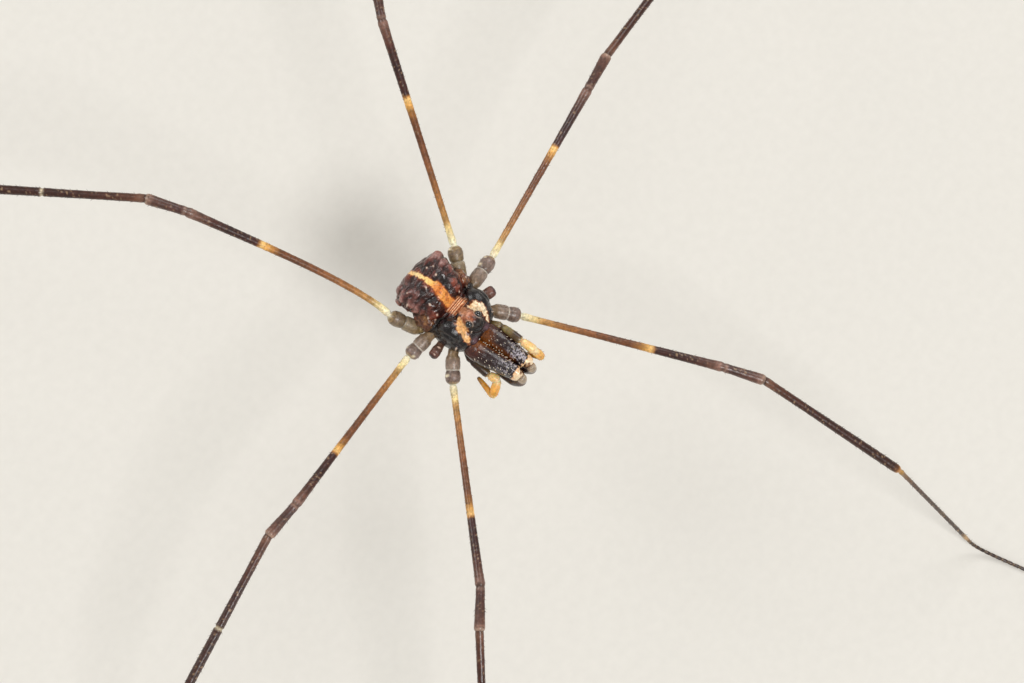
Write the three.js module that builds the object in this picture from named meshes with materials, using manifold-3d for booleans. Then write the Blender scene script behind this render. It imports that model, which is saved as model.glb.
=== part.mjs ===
// A male long-legged harvestman at life size, standing on its six remaining legs with both second legs
// lost at the hip. Millimetres, +Z up, head towards -Y, the animal's left towards +X, feet on the floor
// at z = 0.
import * as THREE from "three";
import { mergeVertices } from "three/addons/utils/BufferGeometryUtils.js";
import Module from "manifold-3d";

const wasm = await Module();
wasm.setup();

// Driving dimensions
const JOINT_GAP = 0.3; // between two pieces that meet face to face
const FINE_GAP = 0.15; // between an eye and its socket, and beside the chelicerae
const BODY_X = 0.16; // the body's midline, before the whole is centred over its feet
const CARAPACE_TOP = 14.62;
const ABDOMEN_TOP = 14.85;
const BELLY = 12.25;
const LEG_RADIUS_MIN = 0.25; // keeps the slender outer leg at half a millimetre
const ANKLE_HEIGHT = 1.5; // where a metatarsus ends above the floor
const SOLE_RADIUS = 0.25; // of the long tarsus, whose underside is flat on the floor
const TARSUS_LENGTH = 17;
const CLAW_LENGTH = 0.55;
const JAW_HEIGHT = 1.16; // of a chelicera's base, whose top carries the denticles
const DENTICLES = { rows: 8, columns: 3, length: 0.15, radius: 0.055, sunk: 0.06, jitter: 0.35, seed: 7 };

// Real lengths in millimetres, the same left and right
const LEG_SIZES = {
  1: { femur: 11.4, patella: 2.4, tibia: 9.7, metatarsus: 11.8 },
  3: { femur: 10.65, patella: 2.25, tibia: 9.6, metatarsus: 12.2 },
  4: { femur: 12.9, patella: 2.3, tibia: 10.4, metatarsus: 14.5 },
};

// Each leg's stance. hip and knee-side angles are compass angles in degrees from straight ahead,
// positive towards the animal's left, and rise is the angle above the horizon.
const LEGS = [
  {
    name: "left_1", size: 1, root: [1.72, -1.42, 12.95], hip: [2.56, -2.78, 12.6],
    femur: 24.7, rise: 8, patella: 23.4, tibia: 10.9, drop: 17, outer: 18, bow: -5,
  },
  {
    name: "left_3", size: 3, root: [2.02, 0.34, 12.85], hip: [4.06, 0.51, 12.6],
    femur: 100.4, rise: 9, patella: 100.6, tibia: 93.3, drop: 15, outer: 96, bow: -14,
  },
  {
    name: "left_4", size: 4, root: [1.98, 1.06, 12.6], hip: [3.06, 2.51, 13.1],
    femur: 148.6, rise: 8, patella: 139.5, tibia: 129.3, drop: 14, outer: 134, bow: 15,
  },
  {
    name: "right_1", size: 1, root: [-1.62, -1.3, 12.9], hip: [-2.84, -2.36, 12.6],
    femur: -44.1, rise: 8, patella: -51.7, tibia: -46.2, drop: 15, outer: -50, bow: -15,
  },
  {
    name: "right_3", size: 3, root: [-1.76, 0.36, 12.85], hip: [-3.25, 0.49, 12.6],
    femur: -87.1, rise: 9, patella: -91, tibia: -77.8, drop: 15, outer: -83, bow: 14,
  },
  {
    name: "right_4", size: 4, root: [-1.66, 1.02, 12.5], hip: [-2.27, 2.74, 13.1],
    femur: -162.8, rise: 18, patella: -157.5, tibia: -145.6, drop: 14, outer: -150, bow: -16, arch: -0.4,
  },
];

// The coxae of the two lost legs: root, blunt end and radius
const STUMPS = [
  { name: "left_2", root: [1.98, -0.54, 12.95], end: [2.78, -0.72, 13.1] },
  { name: "right_2", root: [-1.8, -0.46, 12.9], end: [-2.52, -0.5, 12.95] },
];

const PAINT = {
  carapace: [0x150d0d, 0.32],
  abdomen: [0x4a241d, 0.5],
  ocularium: [0x7c4226, 0.4],
  eye: [0x050506, 0.08],
  chelicera: [0x22080a, 0.3],
  hand: [0x8f7a68, 0.4],
  palp: [0xe8b468, 0.42],
  coxa: [0x65584c, 0.5],
  femur: [0x7a4020, 0.42],
  patella: [0x3a1c10, 0.45],
  tibia: [0x3a2018, 0.45],
  metatarsus: [0x2c1a10, 0.5],
  tarsus: [0x2a1a12, 0.5],
};

const up = new THREE.Vector3(0, 0, 1);
const group = new THREE.Group();

function vec([x, y, z]) {
  return new THREE.Vector3(x, y, z);
}

// The unit vector at a compass angle and a rise above the horizon, both in degrees.
function heading(compass, rise) {
  const a = THREE.MathUtils.degToRad(compass);
  const e = THREE.MathUtils.degToRad(rise);
  return new THREE.Vector3(Math.sin(a) * Math.cos(e), -Math.cos(a) * Math.cos(e), Math.sin(e));
}

// A closed skin over rings of equal size, each end shut by a fan round its middle.
function skin(rings) {
  const sides = rings[0].length;
  const positions = rings.flat().flatMap((p) => [p.x, p.y, p.z]);
  const index = [];
  for (let i = 0; i + 1 < rings.length; i++)
    for (let j = 0; j < sides; j++) {
      const k = (j + 1) % sides;
      const [a, b, c, d] = [i * sides + j, i * sides + k, (i + 1) * sides + j, (i + 1) * sides + k];
      index.push(a, b, c, b, d, c);
    }
  const addFan = (ring, base, outward) => {
    const middle = ring.reduce((sum, p) => sum.add(p), new THREE.Vector3()).divideScalar(sides);
    const m = positions.length / 3;
    positions.push(middle.x, middle.y, middle.z);
    for (let j = 0; j < sides; j++) {
      const k = (j + 1) % sides;
      index.push(m, ...(outward ? [base + j, base + k] : [base + k, base + j]));
    }
  };
  addFan(rings[0], 0, false);
  addFan(rings.at(-1), (rings.length - 1) * sides, true);
  const geometry = new THREE.BufferGeometry();
  geometry.setAttribute("position", new THREE.Float32BufferAttribute(positions, 3));
  geometry.setIndex(index);
  return geometry;
}

// A limb of round section through stations { at, r, wide, tall }, its lowest facet level so that it can
// lie flat. A limb that folds back on itself is given the one direction that stays across it.
function limb(stations, sides = 10, hinge = null) {
  const rings = stations.map(({ at, r, wide = 1, tall = 1 }, i) => {
    const before = stations[Math.max(i - 1, 0)].at;
    const after = stations[Math.min(i + 1, stations.length - 1)].at;
    const along = after.clone().sub(before).normalize();
    const across = hinge ?? new THREE.Vector3().crossVectors(up, along).normalize();
    const above = new THREE.Vector3().crossVectors(along, across);
    return Array.from({ length: sides }, (_, j) => {
      const turn = (2 * Math.PI * (j + 0.5)) / sides - Math.PI / 2;
      return at
        .clone()
        .addScaledVector(across, r * wide * Math.cos(turn))
        .addScaledVector(above, r * tall * Math.sin(turn));
    });
  });
  return skin(rings);
}

// A straight limb from one point to another, its radius given at fractions of its length.
function straightLimb(from, to, profile, sides) {
  return limb(profile.map(([t, r]) => ({ at: from.clone().lerp(to, t), r })), sides);
}

// A body form: cross-sections along Y with a half width, a top, a bottom and a fullness from 2, oval,
// to 4, square.
function bodyForm(sections, sides = 24) {
  return skin(
    sections.map(([y, x, half, top, bottom, full]) =>
      Array.from({ length: sides }, (_, j) => {
        const turn = (-2 * Math.PI * j) / sides;
        const round = (v) => Math.sign(v) * Math.abs(v) ** (2 / full);
        const middle = (top + bottom) / 2;
        const z = middle + ((top - bottom) / 2) * round(Math.sin(turn));
        return new THREE.Vector3(x + half * round(Math.cos(turn)), y, z);
      }),
    ),
  );
}

function ball(centre, [a, b, c], detail = 12) {
  const geometry = new THREE.SphereGeometry(1, detail, Math.ceil(detail * 0.6));
  geometry.scale(a, b, c);
  return geometry.translate(...centre);
}

function toSolid(geometry) {
  const bare = geometry.clone();
  bare.deleteAttribute("normal");
  bare.deleteAttribute("uv");
  const merged = mergeVertices(bare, 1e-4);
  return new wasm.Manifold(
    new wasm.Mesh({
      numProp: 3,
      vertProperties: new Float32Array(merged.attributes.position.array),
      triVerts: new Uint32Array(merged.index.array),
    }),
  );
}

function fromSolid(solid) {
  const mesh = solid.getMesh();
  const geometry = new THREE.BufferGeometry();
  geometry.setAttribute("position", new THREE.BufferAttribute(mesh.vertProperties, mesh.numProp));
  geometry.setIndex(new THREE.BufferAttribute(mesh.triVerts, 1));
  return geometry;
}

// Joins forms into one body, takes the cutters away, and keeps only the largest piece.
function fuse(forms, cutters = []) {
  let whole = forms.map(toSolid).reduce((sum, next) => sum.add(next));
  for (const cutter of cutters) whole = whole.subtract(toSolid(cutter));
  const pieces = whole.decompose().sort((a, b) => b.volume() - a.volume());
  return fromSolid(pieces[0]);
}

function addNode(name, geometry, finish) {
  const [colour, roughness] = PAINT[finish];
  const material = new THREE.MeshStandardMaterial({ color: colour, roughness, metalness: 0 });
  const mesh = new THREE.Mesh(geometry, material);
  mesh.name = name;
  group.add(mesh);
}

// A short pointed tooth with four sides, its root sunk into what carries it.
function denticle(foot, direction, length) {
  const { radius, sunk } = DENTICLES;
  const geometry = new THREE.ConeGeometry(radius, length + sunk, 4);
  geometry.translate(0, (length - sunk) / 2, 0);
  geometry.applyQuaternion(new THREE.Quaternion().setFromUnitVectors(new THREE.Vector3(0, 1, 0), direction));
  return geometry.translate(foot.x, foot.y, foot.z);
}

// Numbers from 0 to 1 in a fixed order, for what varies from piece to piece.
function draws(seed) {
  let state = seed;
  return () => {
    state = (state * 16807) % 2147483647;
    return state / 2147483647;
  };
}

// The carapace with its two glossy side lobes, the sternum below, and the seat of the eye mound.
function addProsoma() {
  const x = BODY_X;
  const shell = bodyForm([
    [-1.74, x - 0.16, 0.8, 13.95, 13.0, 2.2],
    [-1.62, x - 0.14, 1.12, 14.12, 12.75, 2.4],
    [-1.3, x - 0.1, 1.48, 14.32, 12.5, 2.6],
    [-0.8, x - 0.06, 1.74, 14.45, 12.3, 2.6],
    [-0.2, x - 0.02, 1.82, 14.4, BELLY, 2.6],
    [0.25, x, 1.74, 14.25, BELLY, 2.6],
    [0.56, x, 1.5, 14.05, 12.35, 2.5],
    [0.68, x, 1.2, 13.85, 12.6, 2.4],
  ]);
  const lobeSize = [0.7, 0.86, CARAPACE_TOP - 13.9];
  const lobes = [-1, 1].map((side) => ball([x - 0.05 + side * 0.98, -0.34, 13.9], lobeSize));
  addNode("prosoma", fuse([shell, ...lobes]), "carapace");
}

// The abdomen, a full sack that is broad and blunt behind, with low folds across it.
function addAbdomen() {
  const x = BODY_X + 0.06;
  const rows = [
    [0.98, 1.2, 14.2, 12.75], [1.12, 1.45, 14.5, 12.5], [1.5, 1.66, 14.78, BELLY], [1.62, 1.62, 14.72, BELLY],
    [2.0, 1.76, ABDOMEN_TOP, BELLY], [2.12, 1.71, 14.78, BELLY], [2.5, 1.78, ABDOMEN_TOP, 12.28],
    [2.62, 1.74, 14.74, 12.3], [2.94, 1.7, 14.66, 12.45], [3.06, 1.58, 14.5, 12.55], [3.3, 1.2, 14.25, 12.85],
    [3.44, 0.7, 13.95, 13.2],
  ];
  const sack = bodyForm(rows.map(([y, half, top, bottom]) => [y, x, half, top, bottom, 2.7]));
  addNode("abdomen", fuse([sack]), "abdomen");
}

// The eye mound with a socket on each side, and the two round eyes in them.
function addEyes() {
  const centre = [BODY_X - 0.02, -0.9, 14.98];
  const eyes = [-1, 1].map((side) => [centre[0] + side * 0.38, centre[1] - 0.02, centre[2] + 0.08]);
  const eyeSize = [0.25, 0.25, 0.25];
  const socket = eyeSize.map((r) => r + FINE_GAP);
  const mound = bodyForm(
    [
      [-1.5, centre[0], 0.2, 15.05, 14.78, 2],
      [-1.38, centre[0], 0.42, 15.2, 14.76, 2.2],
      [-1.1, centre[0], 0.56, 15.34, 14.75, 2.4],
      [-0.8, centre[0], 0.56, 15.34, 14.75, 2.4],
      [-0.52, centre[0], 0.42, 15.16, 14.73, 2.2],
      [-0.4, centre[0], 0.22, 15.0, 14.72, 2],
    ],
    16,
  );
  addNode("ocularium", fuse([mound], eyes.map((eye) => ball(eye, socket))), "ocularium");
  addNode("eye_right", ball(eyes[0], eyeSize), "eye");
  addNode("eye_left", ball(eyes[1], eyeSize), "eye");
}

// A chelicera: the stout base pointing forwards with denticles along its top, and the hand folded back
// beneath it.
function addChelicera(name, side) {
  const back = vec([BODY_X - 0.28, -2.02, 13.42]);
  const front = vec([BODY_X, -4.66, 13.42]);
  // Fraction of the length, offset from the seam between the two, and half width
  const profile = [
    [0, 0.5, 0.26], [0.08, 0.5, 0.38], [0.35, 0.5, 0.41],
    [0.75, 0.47, 0.38], [0.93, 0.45, 0.35], [1, 0.44, 0.25],
  ];
  const tall = JAW_HEIGHT / 2 / 0.41;
  const station = (t) => {
    const k = Math.min(profile.findIndex(([end]) => end >= t - 1e-9) || 1, profile.length - 1);
    const [t0, offset0, r0] = profile[k - 1];
    const [t1, offset1, r1] = profile[k];
    const f = (t - t0) / (t1 - t0);
    const at = back.clone().lerp(front, t);
    at.x += side * THREE.MathUtils.lerp(offset0, offset1, f);
    return { at, r: THREE.MathUtils.lerp(r0, r1, f), tall };
  };
  const base = limb(profile.map(([t]) => station(t)), 12);
  addNode(`chelicera_base_${name}`, fuse([base, ...denticles(station, side)]), "chelicera");
  const across = new THREE.Vector3(-1, 0, 0);
  const x = BODY_X - 0.04 + side * 0.4;
  const fold = (points) => limb(points.map(([y, z, r]) => ({ at: vec([x, y, z]), r })), 10, across);
  const hand = fold([
    [-4.9, 13.6, 0.15], [-5.02, 13.5, 0.24], [-5.06, 13.2, 0.26], [-4.96, 12.84, 0.27], [-4.66, 12.5, 0.28],
    [-4.1, 12.33, 0.3], [-3.5, 12.3, 0.28], [-3.0, 12.3, 0.2], [-2.45, 12.25, 0.13], [-2.2, 12.15, 0.06],
  ]);
  addNode(`chelicera_hand_${name}`, fuse([hand]), "hand");
  const finger = fold([[-3.5, 11.76, 0.1], [-3.38, 11.74, 0.15], [-2.9, 11.72, 0.13], [-2.4, 11.84, 0.06]]);
  addNode(`chelicera_finger_${name}`, fuse([finger]), "chelicera");
}

// Rows of denticles over the upper side of a chelicera's base, each a little out of line and of its own
// length.
function denticles(station, side) {
  const { rows, columns, length, jitter, seed } = DENTICLES;
  const draw = draws(seed + side);
  const teeth = [];
  for (let i = 0; i < rows; i++)
    for (let j = 0; j < columns; j++) {
      const { at, r, tall } = station(0.16 + (0.68 * (i + jitter * (draw() - 0.5))) / (rows - 1));
      const turn = (j - (columns - 1) / 2 + jitter * (draw() - 0.5)) * 0.55;
      const foot = at.clone().add(new THREE.Vector3(r * Math.sin(turn), 0, r * tall * Math.cos(turn)));
      const out = new THREE.Vector3(Math.sin(turn), -0.35, Math.cos(turn) / tall).normalize();
      teeth.push(denticle(foot, out, length * (0.75 + 0.5 * draw())));
    }
  return teeth;
}

// A pedipalp in three pieces along a bent line: femur, patella with tibia, and the slender tarsus.
function addPalp(name, joints) {
  const [root, knee, wrist, heel, toe] = joints.map(vec);
  const toward = (a, b, gap) => a.clone().add(b.clone().sub(a).setLength(gap));
  const half = JOINT_GAP / 2;
  addNode(
    `palp_femur_${name}`,
    straightLimb(root, toward(knee, root, half), [[0, 0.2], [0.1, 0.26], [0.5, 0.25], [0.9, 0.27], [1, 0.2]]),
    "coxa",
  );
  const patella = [
    [toward(knee, wrist, half), 0.2], [toward(knee, wrist, half + 0.12), 0.27],
    [wrist.clone().lerp(knee, 0.4), 0.28], [wrist, 0.27],
    [wrist.clone().lerp(heel, 0.5), 0.26], [toward(heel, wrist, half), 0.18],
  ];
  addNode(`palp_patella_${name}`, limb(patella.map(([at, r]) => ({ at, r }))), "palp");
  const tarsusProfile = [[0, 0.18], [0.1, 0.25], [0.7, 0.25], [0.94, 0.16], [1, 0.06]];
  addNode(`palp_tarsus_${name}`, straightLimb(toward(heel, toe, half), toe, tarsusProfile, 8), "palp");
}

// A hip: the barrel of the coxa and the rounder trochanter beyond its ring groove.
function addHip({ name, root, hip }) {
  const from = vec(root);
  const to = vec(hip);
  const inset = to.clone().sub(from).setLength(JOINT_GAP);
  to.sub(inset);
  const profile = [
    [0, 0.3], [0.08, 0.37], [0.4, 0.4], [0.47, 0.34], [0.54, 0.4], [0.72, 0.43], [0.9, 0.38], [1, 0.27],
  ];
  addNode(`coxa_${name}`, straightLimb(from, to, profile, 12), "coxa");
}

// The blunt stump of a lost leg, rounded over at its scar.
function addStump({ name, root, end }) {
  const profile = [[0, 0.26], [0.1, 0.34], [0.5, 0.38], [0.8, 0.36], [0.94, 0.28], [1, 0.14]];
  addNode(`coxa_${name}`, straightLimb(vec(root), vec(end), profile, 12), "coxa");
}

// One walking leg from its hip out to the claw.
function addLeg({ name, size, hip, femur, rise, patella, tibia, drop, outer, bow, arch = 0 }) {
  const lengths = LEG_SIZES[size];
  const hipPoint = vec(hip);
  const knee = hipPoint.clone().addScaledVector(heading(femur, rise), lengths.femur);
  const bend = knee.clone().addScaledVector(heading(patella, -2), lengths.patella);
  const shin = bend.clone().addScaledVector(heading(tibia, -drop), lengths.tibia);
  const plunge = THREE.MathUtils.radToDeg(Math.asin((shin.z - ANKLE_HEIGHT) / lengths.metatarsus));
  const ankle = shin.clone().addScaledVector(heading(outer, -plunge), lengths.metatarsus);
  const half = JOINT_GAP / 2;
  const part = (from, to, profile, sides, sideways = 0) => {
    const along = to.clone().sub(from).setLength(half);
    const [start, end] = [from.clone().add(along), to.clone().sub(along)];
    const aside = heading(femur + 90, 0);
    const bowed = (t) => sideways * Math.sin(Math.PI * t ** 0.6);
    const at = (t) => start.clone().lerp(end, t).addScaledVector(aside, bowed(t));
    return limb(profile.map(([t, r]) => ({ at: at(t), r })), sides);
  };
  const femurProfile = [
    [0, 0.2], [0.02, 0.25], [0.15, 0.25], [0.3, 0.25], [0.5, 0.25],
    [0.7, 0.26], [0.9, 0.28], [0.97, 0.32], [1, 0.24],
  ];
  addNode(`femur_${name}`, part(hipPoint, knee, femurProfile, 10, arch), "femur");
  const patellaProfile = [[0, 0.22], [0.08, 0.29], [0.5, 0.31], [0.86, 0.36], [1, 0.24]];
  addNode(`patella_${name}`, part(knee, bend, patellaProfile), "patella");
  const tibiaProfile = [[0, 0.22], [0.02, 0.27], [0.3, 0.28], [0.7, 0.3], [0.97, 0.29], [1, 0.22]];
  addNode(`tibia_${name}`, part(bend, shin, tibiaProfile), "tibia");
  const metatarsusProfile = [[0, 0.2], [0.03, LEG_RADIUS_MIN], [0.96, LEG_RADIUS_MIN], [1, 0.2]];
  addNode(`metatarsus_${name}`, part(shin, ankle, metatarsusProfile, 8), "metatarsus");
  addNode(`tarsus_${name}`, tarsus(ankle, outer, plunge, bow), "tarsus");
}

// The long many-jointed tarsus: it bends down to the floor, lies flat there in a slow bow, and ends in
// a small claw.
function tarsus(ankle, outer, plunge, bow) {
  const steps = 22;
  const step = (TARSUS_LENGTH - JOINT_GAP / 2) / steps;
  const drop = SOLE_RADIUS * Math.cos(Math.PI / 8);
  const point = ankle.clone().addScaledVector(heading(outer, -plunge), JOINT_GAP / 2);
  const stations = [{ at: point.clone(), r: 0.19 }];
  const bends = 3;
  const fall = point.z - drop;
  let slope = plunge;
  for (let i = 1; i <= steps; i++) {
    slope = i <= bends ? THREE.MathUtils.radToDeg(Math.asin(Math.min(fallShare(i) * fall / step, 0.98))) : 0;
    point.addScaledVector(heading(outer + (bow * i) / steps, -slope), step);
    const taper = THREE.MathUtils.smoothstep(i / steps, 0.8, 1);
    const ridge = i % 2 ? 0 : 0.02;
    const r = i > bends ? SOLE_RADIUS - 0.13 * taper : SOLE_RADIUS - ridge;
    stations.push({ at: point.clone(), r });
  }
  const claw = point.clone().addScaledVector(heading(outer + bow, -12), CLAW_LENGTH);
  stations.push({ at: claw, r: 0.05 });
  return limb(stations, 8);
}

// How the fall from ankle to floor is shared among the first three steps of a tarsus.
function fallShare(i) {
  return [0, 0.52, 0.34, 0.14][i];
}

addProsoma();
addAbdomen();
addEyes();
addChelicera("left", 1);
addChelicera("right", -1);
addPalp("left", [
  [BODY_X + 0.99, -2.05, 13.2], [BODY_X + 1.02, -3.65, 13.78], [BODY_X + 1.14, -4.55, 13.75],
  [BODY_X + 1.25, -5.1, 13.1], [BODY_X + 1.05, -4.3, 12.3],
]);
addPalp("right", [
  [BODY_X - 1.36, -2.02, 12.7], [BODY_X - 1.36, -3.45, 12.6], [BODY_X - 1.22, -4.05, 12.55],
  [BODY_X - 1.96, -4.42, 12.05], [BODY_X - 1.58, -3.1, 11.75],
]);
LEGS.forEach(addHip);
STUMPS.forEach(addStump);
LEGS.forEach(addLeg);

// The origin is the middle of the outline on the floor.
const outline = new THREE.Box3().setFromObject(group);
const middle = outline.getCenter(new THREE.Vector3());
group.position.set(-middle.x, -middle.y, -outline.min.z);

export default group;
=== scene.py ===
"""A male long-legged harvestman as a life-size still model, with its finishes and its studio.

All body sizes are millimetres in the animal's own coordinates: +Z up, head towards -Y, its left towards +X.
"""
import logging
import math
from dataclasses import dataclass, field
from enum import Enum
from typing import Sequence

import bpy
import numpy as np
from mathutils import Matrix, Vector, noise


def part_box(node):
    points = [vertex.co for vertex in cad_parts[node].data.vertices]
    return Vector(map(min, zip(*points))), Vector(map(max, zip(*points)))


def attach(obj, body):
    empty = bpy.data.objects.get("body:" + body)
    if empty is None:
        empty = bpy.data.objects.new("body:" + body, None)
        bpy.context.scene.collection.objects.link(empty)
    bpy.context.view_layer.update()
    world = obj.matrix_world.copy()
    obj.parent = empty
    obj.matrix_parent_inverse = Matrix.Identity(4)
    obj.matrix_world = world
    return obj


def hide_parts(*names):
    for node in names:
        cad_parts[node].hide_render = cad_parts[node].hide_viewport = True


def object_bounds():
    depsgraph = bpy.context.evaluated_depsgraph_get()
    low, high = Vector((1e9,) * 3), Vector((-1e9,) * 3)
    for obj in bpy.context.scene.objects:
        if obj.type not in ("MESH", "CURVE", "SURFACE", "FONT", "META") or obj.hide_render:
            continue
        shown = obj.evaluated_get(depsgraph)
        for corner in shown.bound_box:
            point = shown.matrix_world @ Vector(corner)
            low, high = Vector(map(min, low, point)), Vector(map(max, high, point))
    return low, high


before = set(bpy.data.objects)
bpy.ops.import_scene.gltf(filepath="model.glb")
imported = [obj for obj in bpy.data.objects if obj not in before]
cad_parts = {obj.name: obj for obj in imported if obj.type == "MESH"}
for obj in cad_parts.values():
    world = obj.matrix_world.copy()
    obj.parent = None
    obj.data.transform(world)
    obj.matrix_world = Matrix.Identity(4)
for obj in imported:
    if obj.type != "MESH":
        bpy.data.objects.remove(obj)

log = logging.getLogger("harvestman")
CAD_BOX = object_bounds()

MM = 0.001
UP = np.array([0.0, 0.0, 1.0])
BODY_X = 0.16  # the body's midline
EYE_MIDDLE = np.array([BODY_X - 0.02, -0.92, 15.06])  # halfway between the two eyes
SOLE = 0.0  # height of the floor
ANKLE_HEIGHT = 1.5
TARSUS_LENGTH = 17.0
BEAD_LENGTH = 0.38  # of one segment of the tarsus
CLAW_FROM = 0.972  # where the claw starts, as a fraction of the tarsus
HIP_LOW = 12.82  # the lowest a leg starts inside the trunk
BARE_BELOW = 0.8  # height under which a leg has bristles on top only

Array = np.ndarray


def linear(hex_colour: str) -> tuple[float, float, float, float]:
    """Turn an sRGB hex value into linear light.

    Args:
        hex_colour: A value such as "#a06030".

    Returns:
        Red, green, blue and an alpha of 1.
    """
    parts = [int(hex_colour[i : i + 2], 16) / 255 for i in (1, 3, 5)]
    r, g, b = (c / 12.92 if c <= 0.04045 else ((c + 0.055) / 1.055) ** 2.4 for c in parts)
    return r, g, b, 1.0


def shade(hex_colour: str) -> Array:
    """Give the linear red, green and blue of an sRGB hex value as an array."""
    return np.array(linear(hex_colour)[:3])


def smooth(low: float, high: float, value: Array) -> Array:
    """Ease from 0 at low to 1 at high.

    Args:
        low: Where the step starts.
        high: Where it ends.
        value: Where it is read.

    Returns:
        The eased step, the same shape as value.
    """
    t = np.clip((value - low) / (high - low), 0, 1)
    return t * t * (3 - 2 * t)


def ramp(stops: Sequence[tuple[float, str]], value: Array) -> Array:
    """Read a colour ramp.

    Args:
        stops: Positions with their sRGB hex colours, in rising order.
        value: Where the ramp is read.

    Returns:
        One linear colour for each value.
    """
    places = [place for place, _ in stops]
    colours = np.array([shade(colour) for _, colour in stops])
    return np.stack([np.interp(value, places, colours[:, i]) for i in range(3)], axis=-1)


def blend(under: Array, over: Array | str, weight: Array) -> Array:
    """Lay one colour over another.

    Args:
        under: Linear colours below.
        over: Linear colours, or one sRGB hex value, above.
        weight: How much of the upper one shows, from 0 to 1.

    Returns:
        The mixed linear colours.
    """
    top = shade(over) if isinstance(over, str) else over
    w = np.clip(weight, 0, 1)[:, None]
    return under * (1 - w) + top * w


def ripple(points: Array, size: float, seed: float) -> Array:
    """Smooth random field over points.

    Args:
        points: Places in millimetres.
        size: The width of one lump in millimetres.
        seed: Shifts the field to another part of itself.

    Returns:
        A value of about -1 to 1 for each point.
    """
    scaled = points / size + seed * 17.3
    return np.array([noise.noise(Vector(p)) for p in scaled]) * 1.6


@dataclass
class Form:
    """A closed mesh in the making, with what its finish reads at each point."""

    points: Array
    faces: list[tuple[int, ...]]
    tint: Array
    gloss: Array
    hair: Array

    @staticmethod
    def of(points: Array, faces: list[tuple[int, ...]]) -> "Form":
        """Make a form of plain points and faces, still without colour."""
        n = len(points)
        return Form(points, faces, np.ones((n, 3)), np.full(n, 0.5), np.zeros(n))

    @staticmethod
    def join(forms: Sequence["Form"]) -> "Form":
        """Put several closed forms into one.

        Args:
            forms: The forms.

        Returns:
            A form with all their points and faces.
        """
        starts = np.cumsum([0] + [len(form.points) for form in forms])
        faces = [tuple(i + start for i in face) for form, start in zip(forms, starts) for face in form.faces]
        stack = [
            np.concatenate([getattr(form, key) for form in forms])
            for key in ("points", "tint", "gloss", "hair")
        ]
        return Form(stack[0], faces, stack[1], stack[2], stack[3])


def skin_rings(rings: Array) -> Form:
    """Close a skin over rings of points.

    Args:
        rings: An array of rings, points round each ring, and x, y, z.

    Returns:
        A closed form whose ends are fans round the middle of the first and last ring.
    """
    count, sides = rings.shape[:2]
    body = rings.reshape(-1, 3)
    poles = np.stack([rings[0].mean(axis=0), rings[-1].mean(axis=0)])
    faces: list[tuple[int, ...]] = []
    for i in range(count - 1):
        a = i * sides
        faces += [
            (a + j, a + (j + 1) % sides, a + sides + (j + 1) % sides, a + sides + j)
            for j in range(sides)
        ]
    first, last, end = count * sides, count * sides + 1, (count - 1) * sides
    faces += [(first, (j + 1) % sides, j) for j in range(sides)]
    faces += [(last, end + j, end + (j + 1) % sides) for j in range(sides)]
    return Form.of(np.concatenate([body, poles]), faces)


def tube(
    path: Array, radius: Array, sides: int, tall: Array | float = 1.0, side_axis: Array | None = None
) -> Form:
    """Loft an oval section along a path.

    Args:
        path: The points of the middle line.
        radius: Half the width at each point.
        sides: Points round the section.
        tall: Height of the section over its width.
        side_axis: The direction that counts as sideways, for paths that run nearly upright.

    Returns:
        A closed form.
    """
    along = np.gradient(path, axis=0)
    along /= np.linalg.norm(along, axis=1, keepdims=True)
    side = np.cross(UP, along) if side_axis is None else np.broadcast_to(side_axis, along.shape).copy()
    side -= along * np.sum(side * along, axis=1, keepdims=True)
    side /= np.linalg.norm(side, axis=1, keepdims=True)
    above = np.cross(along, side)
    turn = 2 * math.pi * np.arange(sides) / sides
    wide = np.cos(turn)[None, :, None] * side[:, None, :] * radius[:, None, None]
    high = np.sin(turn)[None, :, None] * above[:, None, :] * (radius * tall)[:, None, None]
    return skin_rings(path[:, None, :] + wide + high)


def per_ring(values: Array, sides: int) -> Array:
    """Spread one value a ring over the points of a tube, its two poles included."""
    return np.concatenate([np.repeat(values, sides, axis=0), values[:1], values[-1:]])


def curve_through(knots: Sequence[Sequence[float]], count: int) -> Array:
    """Run a smooth line through a few knots.

    Args:
        knots: The points that the line passes.
        count: How many points to give back.

    Returns:
        Evenly counted points of a Catmull-Rom curve.
    """
    k = np.array(knots, dtype=float)
    k = np.concatenate([2 * k[:1] - k[1:2], k, 2 * k[-1:] - k[-2:-1]])
    spans = len(k) - 3
    out = []
    for u in np.linspace(0, spans, count):
        i = min(int(u), spans - 1)
        t = u - i
        p0, p1, p2, p3 = k[i : i + 4]
        out.append(
            0.5
            * (
                2 * p1 + (p2 - p0) * t + (2 * p0 - 5 * p1 + 4 * p2 - p3) * t * t
                + (3 * p1 - p0 - 3 * p2 + p3) * t**3
            )
        )
    return np.array(out)


def rounded_path(path: Array, reach: int) -> Array:
    """Round the corners of a line of points.

    Args:
        path: The points.
        reach: How many neighbours on each side are taken in.

    Returns:
        The eased points, the same number of them.
    """
    kernel = np.concatenate([np.arange(1, reach + 1), np.arange(reach - 1, 0, -1)]).astype(float)
    kernel /= kernel.sum()
    pad = reach - 1
    padded = np.concatenate([np.repeat(path[:1], pad, axis=0), path, np.repeat(path[-1:], pad, axis=0)])
    return np.stack([np.convolve(padded[:, i], kernel, "valid") for i in range(3)], axis=1)


def profile(knots: Sequence[tuple[float, float]], count: int) -> Array:
    """Read a radius profile, given as fractions of the length, at evenly spaced stations."""
    places, radii = zip(*knots)
    return np.interp(np.linspace(0, 1, count), places, radii)


def frame_shift() -> Array:
    """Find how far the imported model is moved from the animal's own coordinates, in millimetres."""
    corners = [np.array(corner) for name in ("eye_left", "eye_right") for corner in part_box(name)]
    return np.mean(corners, axis=0) / MM - EYE_MIDDLE


SHIFT = frame_shift()


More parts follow.
